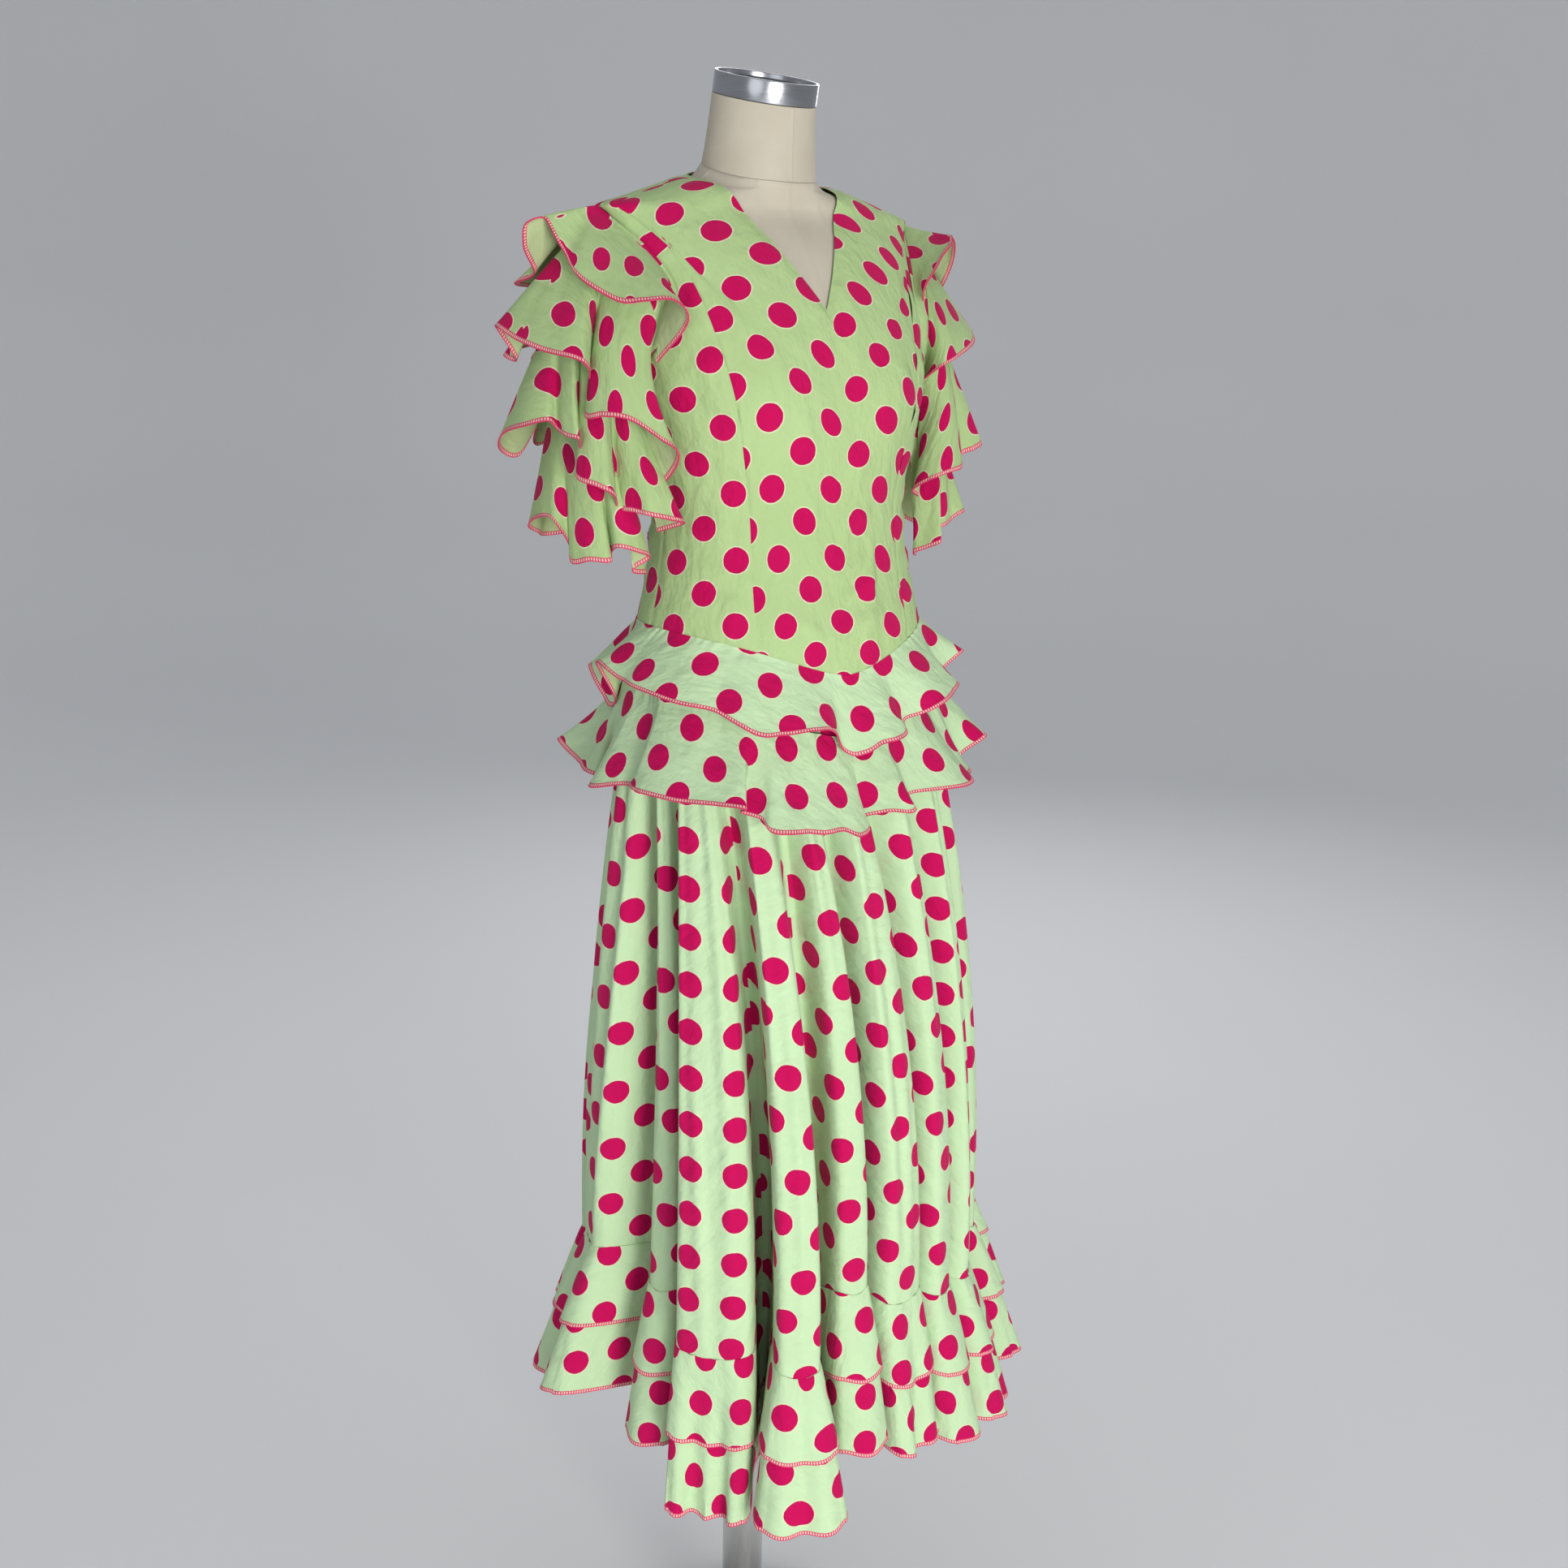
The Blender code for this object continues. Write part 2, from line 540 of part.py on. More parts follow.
def cloth_shares(lines):
    """Share of the whole hem's cloth that lies before each line."""
    edge = hem_points(lines)
    steps = np.linalg.norm(np.roll(edge, -1, 0) - edge, axis=1)
    return np.concatenate([[0.0], np.cumsum(steps)[:-1]]) / steps.sum()


def seam_point(angle):
    """A point of the skirt's upper edge, under the dropped waist."""
    return body_point(BODICE, angle, waist_seam_height(angle) - SKIRT_SEAM_DROP)


def skirt_grid(lines):
    """Rows of the skirt from the waist seam down to the hem seam."""
    shares = cloth_shares(lines)
    first = lines["angle"][1]
    top_angles = first + 360.0 * (shares - shares[1])
    top = seam_point(top_angles)
    length = SEAM_SIDE_HEIGHT - lines["height"]
    lean = around(FOLDS["angle"], FOLDS["lean"], lines["angle"])
    rows = []
    for share in SKIRT_ROWS:
        spread = 1 - (1 - share) ** SKIRT_OPENING
        out = direction(lines["angle"] + lean * (1 - share))
        hem = hem_centre() + out * lines["radius"][:, None]
        depth = FOLD_DEPTH_SHARE * share * length * lines["depth"]
        row = top * (1 - spread) + hem * spread - out * depth[:, None]
        row[:, 2] = top[:, 2] + share * (lines["height"] - top[:, 2])
        rows.append(row)
    return np.array(rows)


def hem_flounce_grid(lines):
    """The lower hem flounce, sewn to the skirt's lower edge: each ridge opens into a bell."""
    edge = hem_points(lines)
    fold = lines["fold"].astype(int)
    flare = FOLDS["flare"][fold]
    centre_angle = lines["angle"] + wrapped(FOLDS["angle"][fold] - lines["angle"])
    ridge = lines["depth"] == 0
    crest = ridge & (np.abs(lines["angle"] - centre_angle) < 0.01)
    widening = (FOLDS["bell"][fold] / FOLDS["ridge_width"][fold]
                * lines["radius"] / (lines["radius"] + flare))
    grid = []
    for length in HEM_FLOUNCE_LENGTHS:
        eased = (length / HEM_FLOUNCE_LENGTHS[-1]) ** 0.9
        growth = np.where(ridge, 1 + (widening - 1) * eased, 1.0)
        angle = centre_angle + (lines["angle"] - centre_angle) * growth
        swing = np.where(ridge, flare, 0.5 * flare) + np.where(crest, FOLDS["pinch"][fold], 0.0)
        radius = lines["radius"] + swing * eased - lines["depth"] * fold_depth(lines)
        row = hem_centre() + direction(angle) * radius[:, None]
        row[:, 2] = edge[:, 2] - hanging_drop(row - edge, length)
        grid.append(row)
    return np.array(grid)


def hanging_drop(moved, length):
    """How far a length of cloth falls once it has swung out by a horizontal distance."""
    out = np.linalg.norm(moved[..., :2], axis=-1)
    return np.sqrt(np.maximum(length ** 2 - out ** 2, (0.35 * length) ** 2))


def stood_off(grid, start, end):
    """Moves a closed flounce level off what it lies on: by start at its seam, by end at its edge."""
    edges = unit((np.roll(grid, -1, 1) - grid) * np.array([1, 1, 0]))
    outward = np.stack([edges[..., 1], -edges[..., 0], np.zeros(edges.shape[:2])], -1)
    corner = (outward + np.roll(outward, 1, 1)) / 2
    sharpness = np.maximum((corner ** 2).sum(-1, keepdims=True), CORNER_LIMIT)
    share = np.linspace(0, 1, len(grid))[:, None, None]
    return grid + corner / sharpness * (start + (end - start) * share)


def build_skirt(cloth):
    lines = fold_columns()
    skirt = skirt_grid(lines)
    count = skirt.shape[1]
    right_side = int(np.argmin(np.abs(wrapped(lines["angle"] + 90))))
    left_side = int(np.argmin(np.abs(wrapped(lines["angle"] - 90))))
    split = (left_side - right_side) % count
    skirt = np.roll(skirt, -right_side, axis=1)
    normals = grid_normals(skirt, True)
    front = slice(0, split + 1)
    back = np.r_[split:count, 0]
    cloth_wall("skirt_front", skirt[:, front], FLOUNCE_CLOTH, False, cloth, normals[:, front])
    cloth_wall("skirt_back", skirt[:, back], FLOUNCE_CLOTH, False, cloth, normals[:, back])
    lower = hem_flounce_grid(lines)
    cloth_wall("hem_flounce_lower", lower, FLOUNCE_CLOTH, True, cloth)
    under = lower[:HEM_UPPER_ROWS]
    upper = stood_off(under, FLOUNCE_SEAM_STAND, HEM_UPPER_STAND)
    cloth_wall("hem_flounce_upper", upper, FLOUNCE_CLOTH, True, cloth, creased_like=under)


# ---------------------------------------------------------------- the waist flounces
def skirt_outside(skirt, angle, drop):
    """Outside of the skirt's ridges, a drop below the waist seam, in a direction from its middle."""
    lines = fold_columns()
    ridge = lines["depth"] == 0
    share = drop / (skirt[0, :, 2] - skirt[-1, :, 2])
    rows = np.array(SKIRT_ROWS)
    row = np.clip(np.searchsorted(rows, share, side="right") - 1, 0, len(rows) - 2)
    part = (share - rows[row]) / (rows[row + 1] - rows[row])
    column = np.arange(skirt.shape[1])
    ring = (skirt[row, column] * (1 - part)[:, None] + skirt[row + 1, column] * part[:, None]
            - hem_centre())[ridge]
    ring_angle = wrapped(np.degrees(np.arctan2(ring[:, 0], -ring[:, 1])))
    order = np.argsort(ring_angle)
    radius = np.interp(wrapped(angle), ring_angle[order], np.hypot(ring[order, 0], ring[order, 1]),
                       period=360)
    a = np.radians(angle)
    width = through(BODICE["height"], BODICE["half_width"], SEAM_SIDE_HEIGHT)
    depth = through(BODICE["height"], BODICE["half_depth"], SEAM_SIDE_HEIGHT)
    seam_angle = np.degrees(np.arctan2(np.sin(a) / width, np.cos(a) / depth))
    point = hem_centre() + direction(angle) * radius[:, None]
    point[:, 2] = seam_point(seam_angle)[:, 2] - drop
    return point


def peplum_grid(skirt, waves, drop, length, off, swing, ease, rows=4):
    """A flounce round the hips: four cloth lines for each wave, which opens with the ease power."""
    crests = waves["angle"]
    steps = np.roll(crests, -1) - crests
    steps[-1] += 360
    angle, crest_share, rise, shift = [], [], [], []
    for i, step in enumerate(steps):
        following = waves["rise"][(i + 1) % len(crests)]
        for part, share in ((0.0, 1.0), (0.25, 0.55), (0.5, 0.0), (0.75, 0.55)):
            angle.append(crests[i] + part * step)
            crest_share.append(share)
            rise.append(waves["rise"][i] * (1 - part) + following * part)
            shift.append(PEPLUM_WAVE_LEAN * step * math.sin(2 * math.pi * part))
    angle, crest_share, rise, shift = (np.array(x) for x in (angle, crest_share, rise, shift))
    sides = swing + PEPLUM_SIDE_SWING * np.abs(np.sin(np.radians(angle)))
    seam = skirt_outside(skirt, angle, drop) + off * direction(angle)
    grid = []
    for v in np.linspace(0, 1, rows):
        bent = angle + shift * v
        row = skirt_outside(skirt, bent, drop + v * length)
        row = row + direction(bent) * (off + sides * v + rise * crest_share * v ** ease)[:, None]
        row[:, 2] = seam[:, 2] - hanging_drop(row - seam, v * length)
        grid.append(row)
    return np.array(grid)


def build_peplum(cloth):
    skirt = skirt_grid(fold_columns())
    off = FLOUNCE_SEAM_STAND
    lower = peplum_grid(skirt, PEPLUM_LOWER_WAVES, PEPLUM_LOWER_DROP, PEPLUM_LOWER_LENGTH - PEPLUM_LOWER_DROP,
                        off + RIDGE_SAG, 0.008, 1.6)
    upper = peplum_grid(skirt, PEPLUM_UPPER_WAVES, 0.0004, PEPLUM_UPPER_LENGTH, off, 0.016, 1.3)
    cloth_wall("peplum_flounce_lower", lower, FLOUNCE_CLOTH, True, cloth)
    cloth_wall("peplum_flounce_upper", upper, FLOUNCE_CLOTH, True, cloth)


# ---------------------------------------------------------------- the sleeves
def sleeve_point(turn, share):
    """The left sleeve under its flounces; turn 0 is the outer side, 90 front, 180 underarm."""
    turn, share = np.broadcast_arrays(np.asarray(turn, float), np.asarray(share, float))
    c, s = np.cos(np.radians(turn)), np.sin(np.radians(turn))
    half = (SHOULDER_TIP_HEIGHT - UNDERARM_HEIGHT) / 2
    height = UNDERARM_HEIGHT + half * (1 + c)
    angle = 90 - ARMHOLE_SCOOP * np.cos(np.pi / 2 * c) * np.sign(s)
    start = body_point(BODICE, angle, height) + SLEEVE_SEAM_STAND * body_normal(BODICE, angle, height)
    end = np.array(SLEEVE_HEM_CENTRE) + np.stack(
        [SLEEVE_HEM_HALF_WIDTH * c, -SLEEVE_HEM_HALF_DEPTH * s, np.zeros_like(c)], -1)
    bend = np.stack([end[..., 0], (start[..., 1] + end[..., 1]) / 2,
                     start[..., 2] - SLEEVE_CAP_DROP], -1)
    share = share[..., None]
    return (1 - share) ** 2 * start + 2 * share * (1 - share) * bend + share ** 2 * end


def sleeve_side(turn, height):
    """The sleeve's surface at given heights; below its hem it carries straight on down."""
    shares = np.linspace(0, 1, 41)
    line = sleeve_point(turn[:, None], shares[None])
    return np.array([[np.interp(-at, -column[:, 2], column[:, axis]) for axis in (0, 1)] + [at]
                     for column, at in zip(line, height)])


def sleeve_tier_grid(tier, side):
    """One sleeve flounce, sewn to the sleeve from its front end over the outer side to its back."""
    row = {name: column[tier] for name, column in SLEEVE_TIERS.items()}
    share = np.linspace(-1, 1, SLEEVE_TIER_COLUMNS)
    turn = np.where(share > 0, share * row["front_end"], -share * row["back_end"])
    shifted = share + SLEEVE_TIER_SHIFTS[tier] * side
    crests = np.array(SLEEVE_WAVE_CRESTS)
    nearest = np.argmin(np.abs(shifted[:, None] - crests[None]), axis=1)
    away = (shifted - crests[nearest]) / np.mean(np.diff(crests))
    fullness = SLEEVE_LEFT_SWING if side > 0 else 1.0
    height = np.array(SLEEVE_WAVE_RISES)[nearest]
    rise = fullness * row["wave"] * height * (0.5 + 0.5 * np.cos(2 * np.pi * away))
    sideways = np.cos(np.pi / 2 * np.abs(share)).clip(0) ** 0.8
    swing = fullness * row["out"] * (SLEEVE_FRONT_SWING + (1 - SLEEVE_FRONT_SWING) * sideways)
    out = np.stack([np.cos(np.radians(turn)), -np.sin(np.radians(turn)), np.zeros_like(turn)], -1)
    seam = sleeve_point(turn, row["seam"]) + out * FLOUNCE_SEAM_STAND
    grid = []
    for v in SLEEVE_TIER_ROWS:
        moved = swing * v ** row["ease"] + rise * v ** (row["ease"] + 0.4)
        fall = np.sqrt(np.maximum((v * row["length"]) ** 2 - moved ** 2, (0.35 * v * row["length"]) ** 2))
        line = sleeve_side(turn, seam[:, 2] - fall) + out * (FLOUNCE_SEAM_STAND + moved)[:, None]
        grid.append(line)
    return np.array(grid)


def build_sleeves(cloth):
    turn = np.linspace(0, 360, SLEEVE_COLUMNS, endpoint=False)
    share = np.linspace(0, 1, SLEEVE_ROWS)
    base = sleeve_point(turn[None], share[:, None])
    for side, word in ((1, "left"), (-1, "right")):
        mirror = np.array([side, 1, 1])
        cloth_wall(f"sleeve_base_{word}", base * mirror, FLOUNCE_CLOTH, True, cloth)
        for tier in range(len(SLEEVE_TIERS["seam"])):
            cloth_wall(f"sleeve_flounce_{tier + 1}_{word}", sleeve_tier_grid(tier, side) * mirror,
                       FLOUNCE_CLOTH, False, cloth)


# ---------------------------------------------------------------- the form and its stand
def form_ring(angle, height):
    """A level ring of the form's chest and shoulders, inside the bodice."""
    inside = body_point(BODICE, angle, height) - FORM_CLEARANCE * body_normal(BODICE, angle, height)
    return inside * np.array([FORM_SHOULDER_SHARE, 1, 1])


def build_form(canvas, steel, cap_metal, iron):
    angle = np.linspace(0, 360, 32, endpoint=False)
    rings = ([body_point(FORM, angle, height) for height in FORM["height"]]
             + [form_ring(angle, height) for height in FORM_SHOULDER_HEIGHTS])
    lofted("form_torso", rings, canvas)

    ring_foot = tilted([[0, 0, -RING_HEIGHT - SEAM_GAP]], RING_TILT, RING_TOP_CENTRE)[0]
    foot_ring = rings[-1] + SEAM_GAP * np.array([0, 0, 1])
    foot_centre = foot_ring.mean(axis=0)
    neck = []
    for share, radius in NECK_RADII:
        flat = tilted(direction(angle) * radius, RING_TILT, foot_centre * (1 - share) + ring_foot * share)
        blend = (1 - share) ** 4
        neck.append(foot_ring * blend + flat * (1 - blend))
    lofted("form_neck", neck, canvas)

    inner = RING_RADIUS - RING_WALL
    turned("neck_cap_ring", [(RING_RADIUS, -RING_HEIGHT), (RING_RADIUS, -0.001), (RING_RADIUS - 0.001, 0.0),
                             (inner, 0.0), (inner, -RING_HEIGHT)], RING_TOP_CENTRE, cap_metal,
           lean=RING_TILT, bored=True)
    plate = inner - SEAM_GAP
    turned("neck_cap_plate", [(plate, -RING_HEIGHT + 0.0002), (plate, -PLATE_RECESS)],
           RING_TOP_CENTRE, cap_metal, lean=RING_TILT)

    turned("stand_base", [(BASE_RADIUS, 0.0), (BASE_RADIUS, BASE_THICKNESS * 0.6),
                          (BASE_RADIUS - 0.006, BASE_THICKNESS), (HUB_RADIUS + 0.012, BASE_THICKNESS + 0.008),
                          (HUB_RADIUS, BASE_THICKNESS + 0.014), (HUB_RADIUS, HUB_HEIGHT - 0.003),
                          (HUB_RADIUS - 0.003, HUB_HEIGHT)], (0, 0, 0), iron)
    pole_top = FORM["height"][0] + STAND_LIFT - 0.0003
    turned("stand_pole", [(POLE_RADIUS, HUB_HEIGHT + 0.0003), (POLE_RADIUS, pole_top)],
           (0, 0, 0), steel, sides=28)


# ---------------------------------------------------------------- the zip's slider and pull
def framed_plate(name, outer, window, thickness, across, finish):
    """A flat bar bent round a window: two rectangles (low corner, high corner), given thickness.

    The rectangles lie in the plane square to the axis numbered across."""
    axes = [axis for axis in range(3) if axis != across]
    points = []
    for level in (-thickness / 2, thickness / 2):
        for low, high in (outer, window):
            for u, v in ((low[0], low[1]), (high[0], low[1]), (high[0], high[1]), (low[0], high[1])):
                point = [0.0, 0.0, 0.0]
                point[axes[0]], point[axes[1]], point[across] = u, v, level
                points.append(point)
    faces = []
    for i in range(4):
        j = (i + 1) % 4
        faces += [(i, j, 4 + j, 4 + i), (8 + i, 12 + i, 12 + j, 8 + j),
                  (i, 8 + i, 8 + j, j), (4 + i, 4 + j, 12 + j, 12 + i)]
    return add_object(name, points, faces, finish, smooth=False)


def build_zip(paint):
    """The slider sits closed at the top of the centre back; its pull hangs from the bridge."""
    centre_back = panel_surface(back_sheet(), 1)[0][:, -1]
    ends = ZIP_SLIDER_HEIGHT + np.array([-0.5, 0.5]) * ZIP_SLIDER_LENGTH
    surface = np.interp(ends, centre_back[:, 2], centre_back[:, 1]).max()
    seat = np.array([0.0, surface + BODICE_CLOTH / 2 + LAYER_GAP, ZIP_SLIDER_HEIGHT])
    plate = ZIP_PLATE_DEPTH
    slider = framed_plate("zip_slider", ((0.0, -ZIP_SLIDER_LENGTH / 2), (plate + 0.0030, 0.0032)),
                          ((plate + 0.0005, -0.0014), (plate + 0.0021, 0.0014)), ZIP_BRIDGE_WIDTH, 0,
                          paint)
    slider.location = seat
    base = framed_plate("zip_slider_plate_guide", ((-0.0026, -ZIP_SLIDER_LENGTH / 2), (0.0026, 0.0050)),
                        ((-0.0004, 0.0040), (0.0004, 0.0044)), plate, 1, paint)
    base.location = seat + np.array([0, plate / 2, 0])
    base.hide_render = True
    base.display_type = "WIRE"
    joined = slider.modifiers.new("plate", "BOOLEAN")
    joined.operation = "UNION"
    joined.object = base
    pull = framed_plate("zip_pull", ((-0.0026, -ZIP_PULL_LENGTH), (0.0026, ZIP_ROD / 2)),
                        ((-0.0014, -0.0062), (0.0014, -ZIP_ROD / 2)), ZIP_ROD, 1, paint)
    pull.location = seat + np.array([0, plate + 0.0013, 0])


def lift_on_stand():
    """Lifts the form and all that it wears to where the drawn-out tube carries them."""
    for shape in bpy.data.objects:
        if not shape.name.startswith("stand_"):
            shape.location.z += STAND_LIFT


def main():
    for old in list(bpy.data.objects):
        bpy.data.objects.remove(old, do_unlink=True)
    cloth = material("dress_cloth", (0.60, 0.80, 0.42), 0.75)
    canvas = material("form_canvas", (0.62, 0.56, 0.46), 0.85)
    steel = material("pole_steel", (0.45, 0.46, 0.48), 0.35, 1.0)
    cap_metal = material("cap_chrome", (0.75, 0.76, 0.78), 0.15, 1.0)
    iron = material("base_iron", (0.10, 0.10, 0.11), 0.45, 1.0)
    zip_paint = material("zip_paint", (0.55, 0.72, 0.40), 0.35)
    build_form(canvas, steel, cap_metal, iron)
    build_bodice(cloth)
    build_sleeves(cloth)
    build_skirt(cloth)
    build_peplum(cloth)
    build_zip(zip_paint)
    lift_on_stand()


main()
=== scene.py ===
"""Flamenco dress on a limbless dress form with its stand: cloth, finishes, light and camera.

Metres, +Z up, the front of the dress faces -Y, the wearer's left is +X.
Angles run from the centre front (0) round the wearer's left side (90) to the centre back (180).
The heights of the dress and the form are those at the stand's lowest setting; STAND_LIFT is
added to them as each piece is made.
"""
import math

import bpy
import numpy as np
from mathutils import Matrix, Vector


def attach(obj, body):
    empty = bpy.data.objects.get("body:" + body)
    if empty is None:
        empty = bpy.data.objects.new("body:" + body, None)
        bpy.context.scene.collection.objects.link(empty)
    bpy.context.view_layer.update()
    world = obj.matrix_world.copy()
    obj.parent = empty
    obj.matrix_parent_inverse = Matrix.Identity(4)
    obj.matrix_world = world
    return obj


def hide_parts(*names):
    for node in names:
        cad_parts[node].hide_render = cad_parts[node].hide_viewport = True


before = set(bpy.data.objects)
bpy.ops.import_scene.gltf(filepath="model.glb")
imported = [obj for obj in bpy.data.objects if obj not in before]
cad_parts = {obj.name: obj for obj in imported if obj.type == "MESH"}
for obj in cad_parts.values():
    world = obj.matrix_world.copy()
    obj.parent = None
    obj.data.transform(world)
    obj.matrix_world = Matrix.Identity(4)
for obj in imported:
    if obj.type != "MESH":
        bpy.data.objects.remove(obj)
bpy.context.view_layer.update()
bpy.ops.object.select_all(action="DESELECT")

# ------------------------------------------------------------ camera, light and floor
# The camera stands in front of the wearer's right side, a little above the bust, and looks
# slightly down. Three soft lamps and an open sky light a pale grey floor, which rises all
# round into a wall without a corner.
CAMERA_PLACE = (-1.118, -1.658, 1.703)
CAMERA_HEADING = -34.95        # degrees from +Y
CAMERA_PITCH = 14.4            # degrees below the horizon
CAMERA_ROLL = 1.15
IMAGE_SIDE = 1932
FOCAL_PIXELS = 2241
SENSOR = 36.0

camera = bpy.data.objects.new("camera", bpy.data.cameras.new("camera"))
bpy.context.scene.collection.objects.link(camera)
camera.data.sensor_width = SENSOR
camera.data.lens = SENSOR * FOCAL_PIXELS / IMAGE_SIDE
camera.data.clip_end = 60.0
camera.matrix_world = (Matrix.Translation(CAMERA_PLACE)
                       @ Matrix.Rotation(math.radians(CAMERA_HEADING), 4, "Z")
                       @ Matrix.Rotation(math.radians(90 - CAMERA_PITCH), 4, "X")
                       @ Matrix.Rotation(math.radians(CAMERA_ROLL), 4, "Z"))
bpy.context.scene.camera = camera

LAMPS = (                      # name, place, what it looks at, side, watts, colour
    ("key_softbox", (-0.9, -4.1, 1.0), (0.0, 0.0, 0.6), 1.6, 134.0, (1.0, 0.985, 0.965)),
    ("fill_softbox", (-3.8, -2.6, 1.4), (0.0, 0.0, 0.6), 2.6, 24.0, (0.94, 0.97, 1.0)),
    ("rim_softbox", (2.4, 2.6, 2.8), (0.0, 0.0, 1.0), 2.0, 36.0, (1.0, 1.0, 1.0)),
)
SKY_COLOUR = (0.94, 0.965, 1.0)
SKY_STRENGTH = 0.60

for name, place, aim, side, watts, colour in LAMPS:
    lamp = bpy.data.objects.new(name, bpy.data.lights.new(name, "AREA"))
    bpy.context.scene.collection.objects.link(lamp)
    lamp.data.shape = "DISK"
    lamp.data.size = side
    lamp.data.energy = watts
    lamp.data.color = colour
    lamp.location = place
    lamp.rotation_euler = (Vector(aim) - Vector(place)).to_track_quat("-Z", "Y").to_euler()

sky = bpy.data.worlds.new("sky")
bpy.context.scene.world = sky
sky.use_nodes = True
sky.node_tree.nodes["Background"].inputs["Color"].default_value = (*SKY_COLOUR, 1.0)
sky.node_tree.nodes["Background"].inputs["Strength"].default_value = SKY_STRENGTH


class Value:
    """A socket of a material's nodes; sums on it add Math nodes."""

    def __init__(self, socket):
        self.socket = socket
        self.tree = socket.id_data

    def node(self, kind, settings=(), values=(), output=0):
        """Adds a node of a kind, gives it its settings and fills its sockets."""
        made = self.tree.nodes.new("ShaderNode" + kind)
        for name, setting in dict(settings).items():
            setattr(made, name, setting)
        for name, value in dict(values).items():
            if isinstance(value, Value):
                self.tree.links.new(value.socket, made.inputs[name])
            else:
                made.inputs[name].default_value = value
        return Value(made.outputs[output])

    def sum(self, operation, *values, clamp=False):
        settings = {"operation": operation, "use_clamp": clamp}
        return self.node("Math", settings, dict(enumerate(values)))

    def __add__(self, other):
        return self.sum("ADD", self, other)

    def __sub__(self, other):
        return self.sum("SUBTRACT", self, other)

    def __rsub__(self, other):
        return self.sum("SUBTRACT", other, self)

    def __mul__(self, other):
        return self.sum("MULTIPLY", self, other)

    __radd__ = __add__
    __rmul__ = __mul__

    def sine(self):
        return self.sum("SINE", self)

    def above(self, edge, soft):
        """1 where the value is over an edge, 0 where it is under, blurred over soft."""
        return self.sum("MULTIPLY_ADD", self, 1 / soft, 0.5 - edge / soft, clamp=True)

    def below(self, edge, soft):
        return 1.0 - self.above(edge, soft)

    def mixed(self, under, over):
        """A colour that goes from under to over as this value goes from 0 to 1."""
        colours = {6: (*under, 1.0) if isinstance(under, tuple) else under,
                   7: (*over, 1.0) if isinstance(over, tuple) else over}
        return self.node("Mix", {"data_type": "RGBA"}, {0: self, **colours}, output=2)

    def part(self, index):
        """One coordinate of a place."""
        return self.node("SeparateXYZ", (), {0: self}, output=index)

    def noise(self, size, detail=2.0, stretch=(1.0, 1.0, 1.0)):
        """Cloudy noise from 0 to 1 at a place, with spots of about one size, in metres."""
        scaled = self.node("Mapping", (), {"Vector": self, "Scale": stretch})
        return self.node("TexNoise", (), {"Vector": scaled, "Scale": 1 / size, "Detail": detail})


def new_finish(name, roughness=0.5, metallic=0.0, **fixed):
    """A Principled finish; returns the material, its shader node and the place on the piece."""
    made = bpy.data.materials.new(name)
    made.use_nodes = True
    shader = made.node_tree.nodes["Principled BSDF"]
    fixed = {"Roughness": roughness, "Metallic": metallic, **fixed}
    for socket, value in fixed.items():
        shader.inputs[socket.replace("_", " ")].default_value = value
    return made, shader, Value(shader.outputs[0]).node("TexCoord", output=3)


def feed(shader, **values):
    """Links values to the shader's sockets by name."""
    for socket, value in values.items():
        value.tree.links.new(value.socket, shader.inputs[socket.replace("_", " ")])


def bump(height, depth, strength=1.0):
    """A Bump node: the height value runs from 0 to 1 over a depth in metres."""
    return height.node("Bump", (), {"Strength": strength, "Distance": depth, "Height": height})


SWEEP_PROFILE = ((0.0, 0.0), (2.5, 0.0), (5.0, 0.0), (6.6, 0.12), (7.9, 0.70), (8.7, 1.8), (9.0, 3.4),
                 (9.1, 6.0))
SWEEP_SIDES = 96


def direction(angle):
    """Horizontal unit vector at an angle from the centre front."""
    a = np.radians(angle)
    return np.stack([np.sin(a), -np.cos(a), np.zeros_like(a)], -1)


def add_mesh(name, points, faces, finish):
    mesh = bpy.data.meshes.new(name)
    mesh.from_pydata(np.asarray(points).tolist(), [], faces)
    mesh.materials.append(finish)
    mesh.shade_smooth()
    made = bpy.data.objects.new(name, mesh)
    bpy.context.scene.collection.objects.link(made)
    return made


floor_paint, floor_shader, place = new_finish("studio_floor", roughness=0.9)
feed(floor_shader, Base_Color=place.noise(1.6).mixed((0.67, 0.675, 0.685), (0.71, 0.715, 0.725)))
turns = np.linspace(0, 360, SWEEP_SIDES, endpoint=False)
rings = np.concatenate([direction(turns) * max(radius, 1e-3) + (0, 0, height)
                        for radius, height in SWEEP_PROFILE])
quads = []
for r in range(len(SWEEP_PROFILE) - 1):
    for c in range(SWEEP_SIDES):
        a, b = r * SWEEP_SIDES + c, r * SWEEP_SIDES + (c + 1) % SWEEP_SIDES
        quads.append((a, a + SWEEP_SIDES, b + SWEEP_SIDES, b))
add_mesh("studio_sweep", rings, quads, floor_paint)


def takes_place_of(made, node):
    """Every piece rides on the body of the dress and replaces one node."""
    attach(made, "dress_and_form")
    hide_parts(node)


# ------------------------------------------------------------ the stand
# A cast-iron foot with a turned hub carries a steel tube of 50 mm, which runs up into the
# padded form. The foot is painted dark, the tube is brushed along its length.
BASE_RADIUS = 0.180
BASE_THICKNESS = 0.014
HUB_RADIUS = 0.042
HUB_HEIGHT = 0.050
POLE_RADIUS = 0.025
STAND_LIFT = 0.140             # the tube is drawn out by this much above its lowest setting
FORM_FOOT = 1.040
POLE_ENDS = (HUB_HEIGHT + 0.0003, FORM_FOOT + STAND_LIFT - 0.0003)
ROUND_SIDES = 128
HUB_STEP = 0.012               # width of the sloped ring round the hub's foot
HUB_STEP_RISES = (0.008, 0.004)
TUBE_CHAMFER = 0.0018


